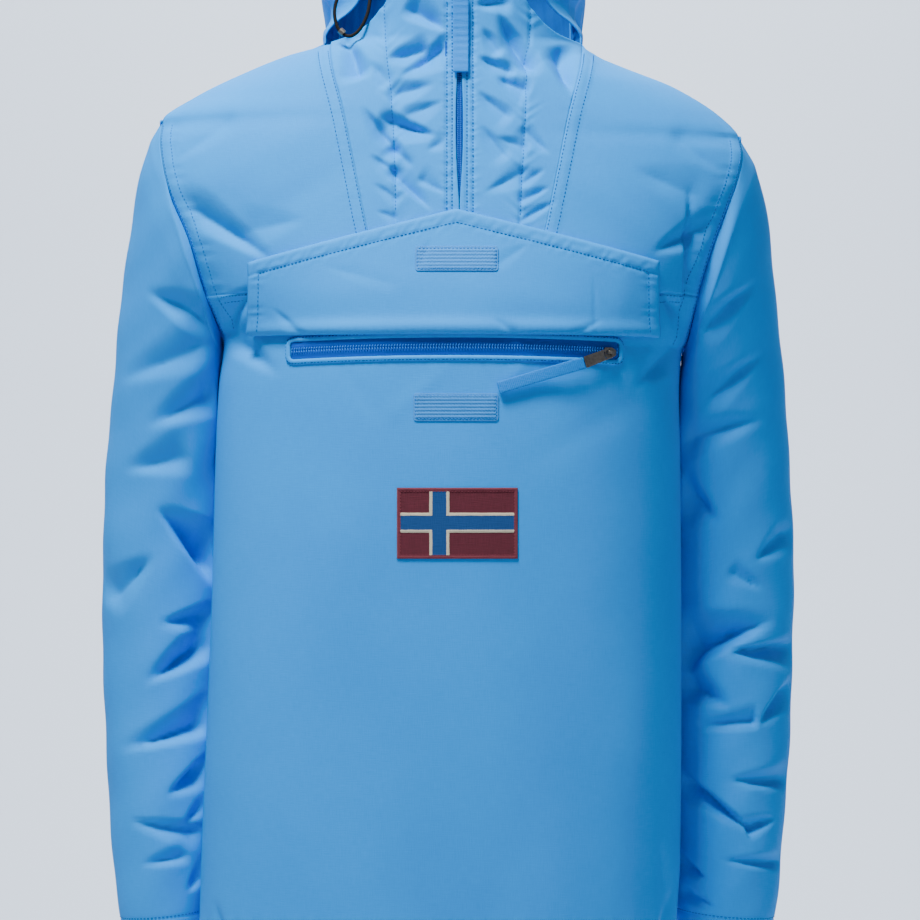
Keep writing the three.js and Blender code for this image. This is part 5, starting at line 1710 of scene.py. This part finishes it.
def tabParts():
    outer = roundedLoop(
        [(-tab["bar"], -tab["railOut"]), (tab["window"], -tab["railOut"]), (tab["length"], -tab["end"]),
         (tab["length"], tab["end"]), (tab["window"], tab["railOut"]), (-tab["bar"], tab["railOut"])], 0.0016)
    near, far, rail = tab["bar"], tab["window"], tab["railIn"]
    inner = roundedLoop(
        [(near, -rail), (far - 0.001, -rail), (far, -rail + 0.0002),
         (far, rail - 0.0002), (far - 0.001, rail), (near, rail)], 0.0009)
    plate, border = bmesh.new(), bmesh.new()
    loopPlate(plate, outer, inner, -tab["wall"] / 2, tab["wall"] / 2)
    bevelled(plate, 0.00025)
    corners = [(0.0095, -0.0036), (0.0255, -0.0040), (0.0255, 0.0040), (0.0095, 0.0036)]
    frameLoop = roundedLoop(corners, 0.0012)
    loopPlate(border, frameLoop, shrunk(frameLoop, 0.16), tab["wall"] / 2, tab["wall"] / 2 + 0.0003)
    bevelled(border, 0.0001)
    return [plate, border]


pocketPull = {
    "x": 0.126, "z": -0.253, "aim": 197, "length": 0.072, "width": 0.010, "wall": 0.002, "endLift": 0.0035,
    "ribs": 0.0015,
}
neckPull = {
    "x": 0.0036, "z": 0.072, "length": 0.065, "width": 0.013, "end": -0.020, "wall": 0.0022, "ribs": 0.0060,
}
pocketFrame = pullFrame(pocketPull["x"], pocketPull["z"], pocketPivotLift, pocketPull["aim"])
pocketSliderFrame = pullFrame(pocketPull["x"], pocketPull["z"], pocketPivotLift, 180)
hardPiece("pocketSlider", sliderParts(), pocketSliderFrame, "garment", ["pocket_zip_slider"])
hardPiece("pocketTab", tabParts(), pocketFrame, "pocket_puller", ["pocket_zip_tab"])
neckFrame = pullFrame(neckPull["x"], neckPull["z"], neckPivotLift, -90)
hardPiece("neckSlider", sliderParts(), neckFrame, "garment", ["neck_zip_slider"])
hardPiece("neckTab", tabParts(), neckFrame, "neck_puller", ["neck_zip_tab"])


# Webbing pulls: a flat tube with a groove between its two layers and ribs across it
def webTube(name, middleAt, facts, node, body):
    around = 36
    width, wall, length, ribs = facts["width"], facts["wall"], facts["length"], facts["ribs"]

    def pointAt(v, u):
        turn = 2 * math.pi * u
        side = np.sign(np.cos(turn)) * np.abs(np.cos(turn)) ** 0.35 * width / 2
        high = np.sign(np.sin(turn)) * np.abs(np.sin(turn)) ** 0.5 * wall / 2
        pinch = 1 - 0.09 * np.exp(-((np.abs(high) / (wall * 0.12)) ** 2))
        rib = 1 + 0.09 * np.sin(2 * math.pi * v * length / ribs) * (np.abs(np.sin(turn)) > 0.3)
        closing = np.minimum(1, np.minimum(v, 1 - v) * length / 0.0008) ** 0.5
        tip = 0.35 + 0.65 * closing
        return middleAt(v + 0 * u, side * pinch, high * rib * tip)

    rows = int(length / ribs * 8)
    piece = clothGrid(name, around, rows, pointAt, (2 * width, length), ring=True, wall=0)
    mesh = bmesh.new()
    mesh.from_mesh(piece.data)
    ends = [edge for edge in mesh.edges if edge.is_boundary]
    bmesh.ops.holes_fill(mesh, edges=ends)
    bmesh.ops.recalc_face_normals(mesh, faces=mesh.faces)
    mesh.to_mesh(piece.data)
    mesh.free()
    for polygon in piece.data.polygons:
        polygon.use_smooth = True
    dress(piece, webCloth, body, [node])
    return piece


def ribbonAt(t, side, high):
    aim = math.radians(pocketPull["aim"])
    start = np.array(pocketFrame @ Vector((tab["length"] + 2 * lieGap, 0, 0)))
    x, z, lift = start[0], start[2], 0.0
    for _ in range(6):
        foot, out = onFront(x, z, 0.0), onFront(x, z, 0.001) - onFront(x, z, 0.0)
        out = out / np.linalg.norm(out)
        lift = float((start - foot).dot(out))
        x, z = start[0] - out[0] * lift, start[2] - out[2] * lift
    reach = pocketPull["length"] * t
    settle = lift + (pocketPull["endLift"] - lift) * smooth(t, 0, 1)
    wave = 0.0006 * np.sin(2 * math.pi * t * 1.3 + 0.5) * smooth(t, 0.05, 0.3)
    alongX = x + math.cos(aim) * reach - math.sin(aim) * side
    alongZ = z + math.sin(aim) * reach + math.cos(aim) * side
    return onFront(alongX, alongZ, settle + wave + high)


def strapAt(t, side, high):
    z = neckPull["z"] - tab["length"] - lieGap
    return onFront(neckPull["x"] + side, z + (neckPull["end"] - z) * t, neckPivotLift + high)


webTube("pocketRibbon", ribbonAt, pocketPull, "pocket_pull_ribbon", "pocket_puller")
webTube("neckStrap", strapAt, neckPull, "neck_pull_strap", "neck_puller")
print("zips and pulls")
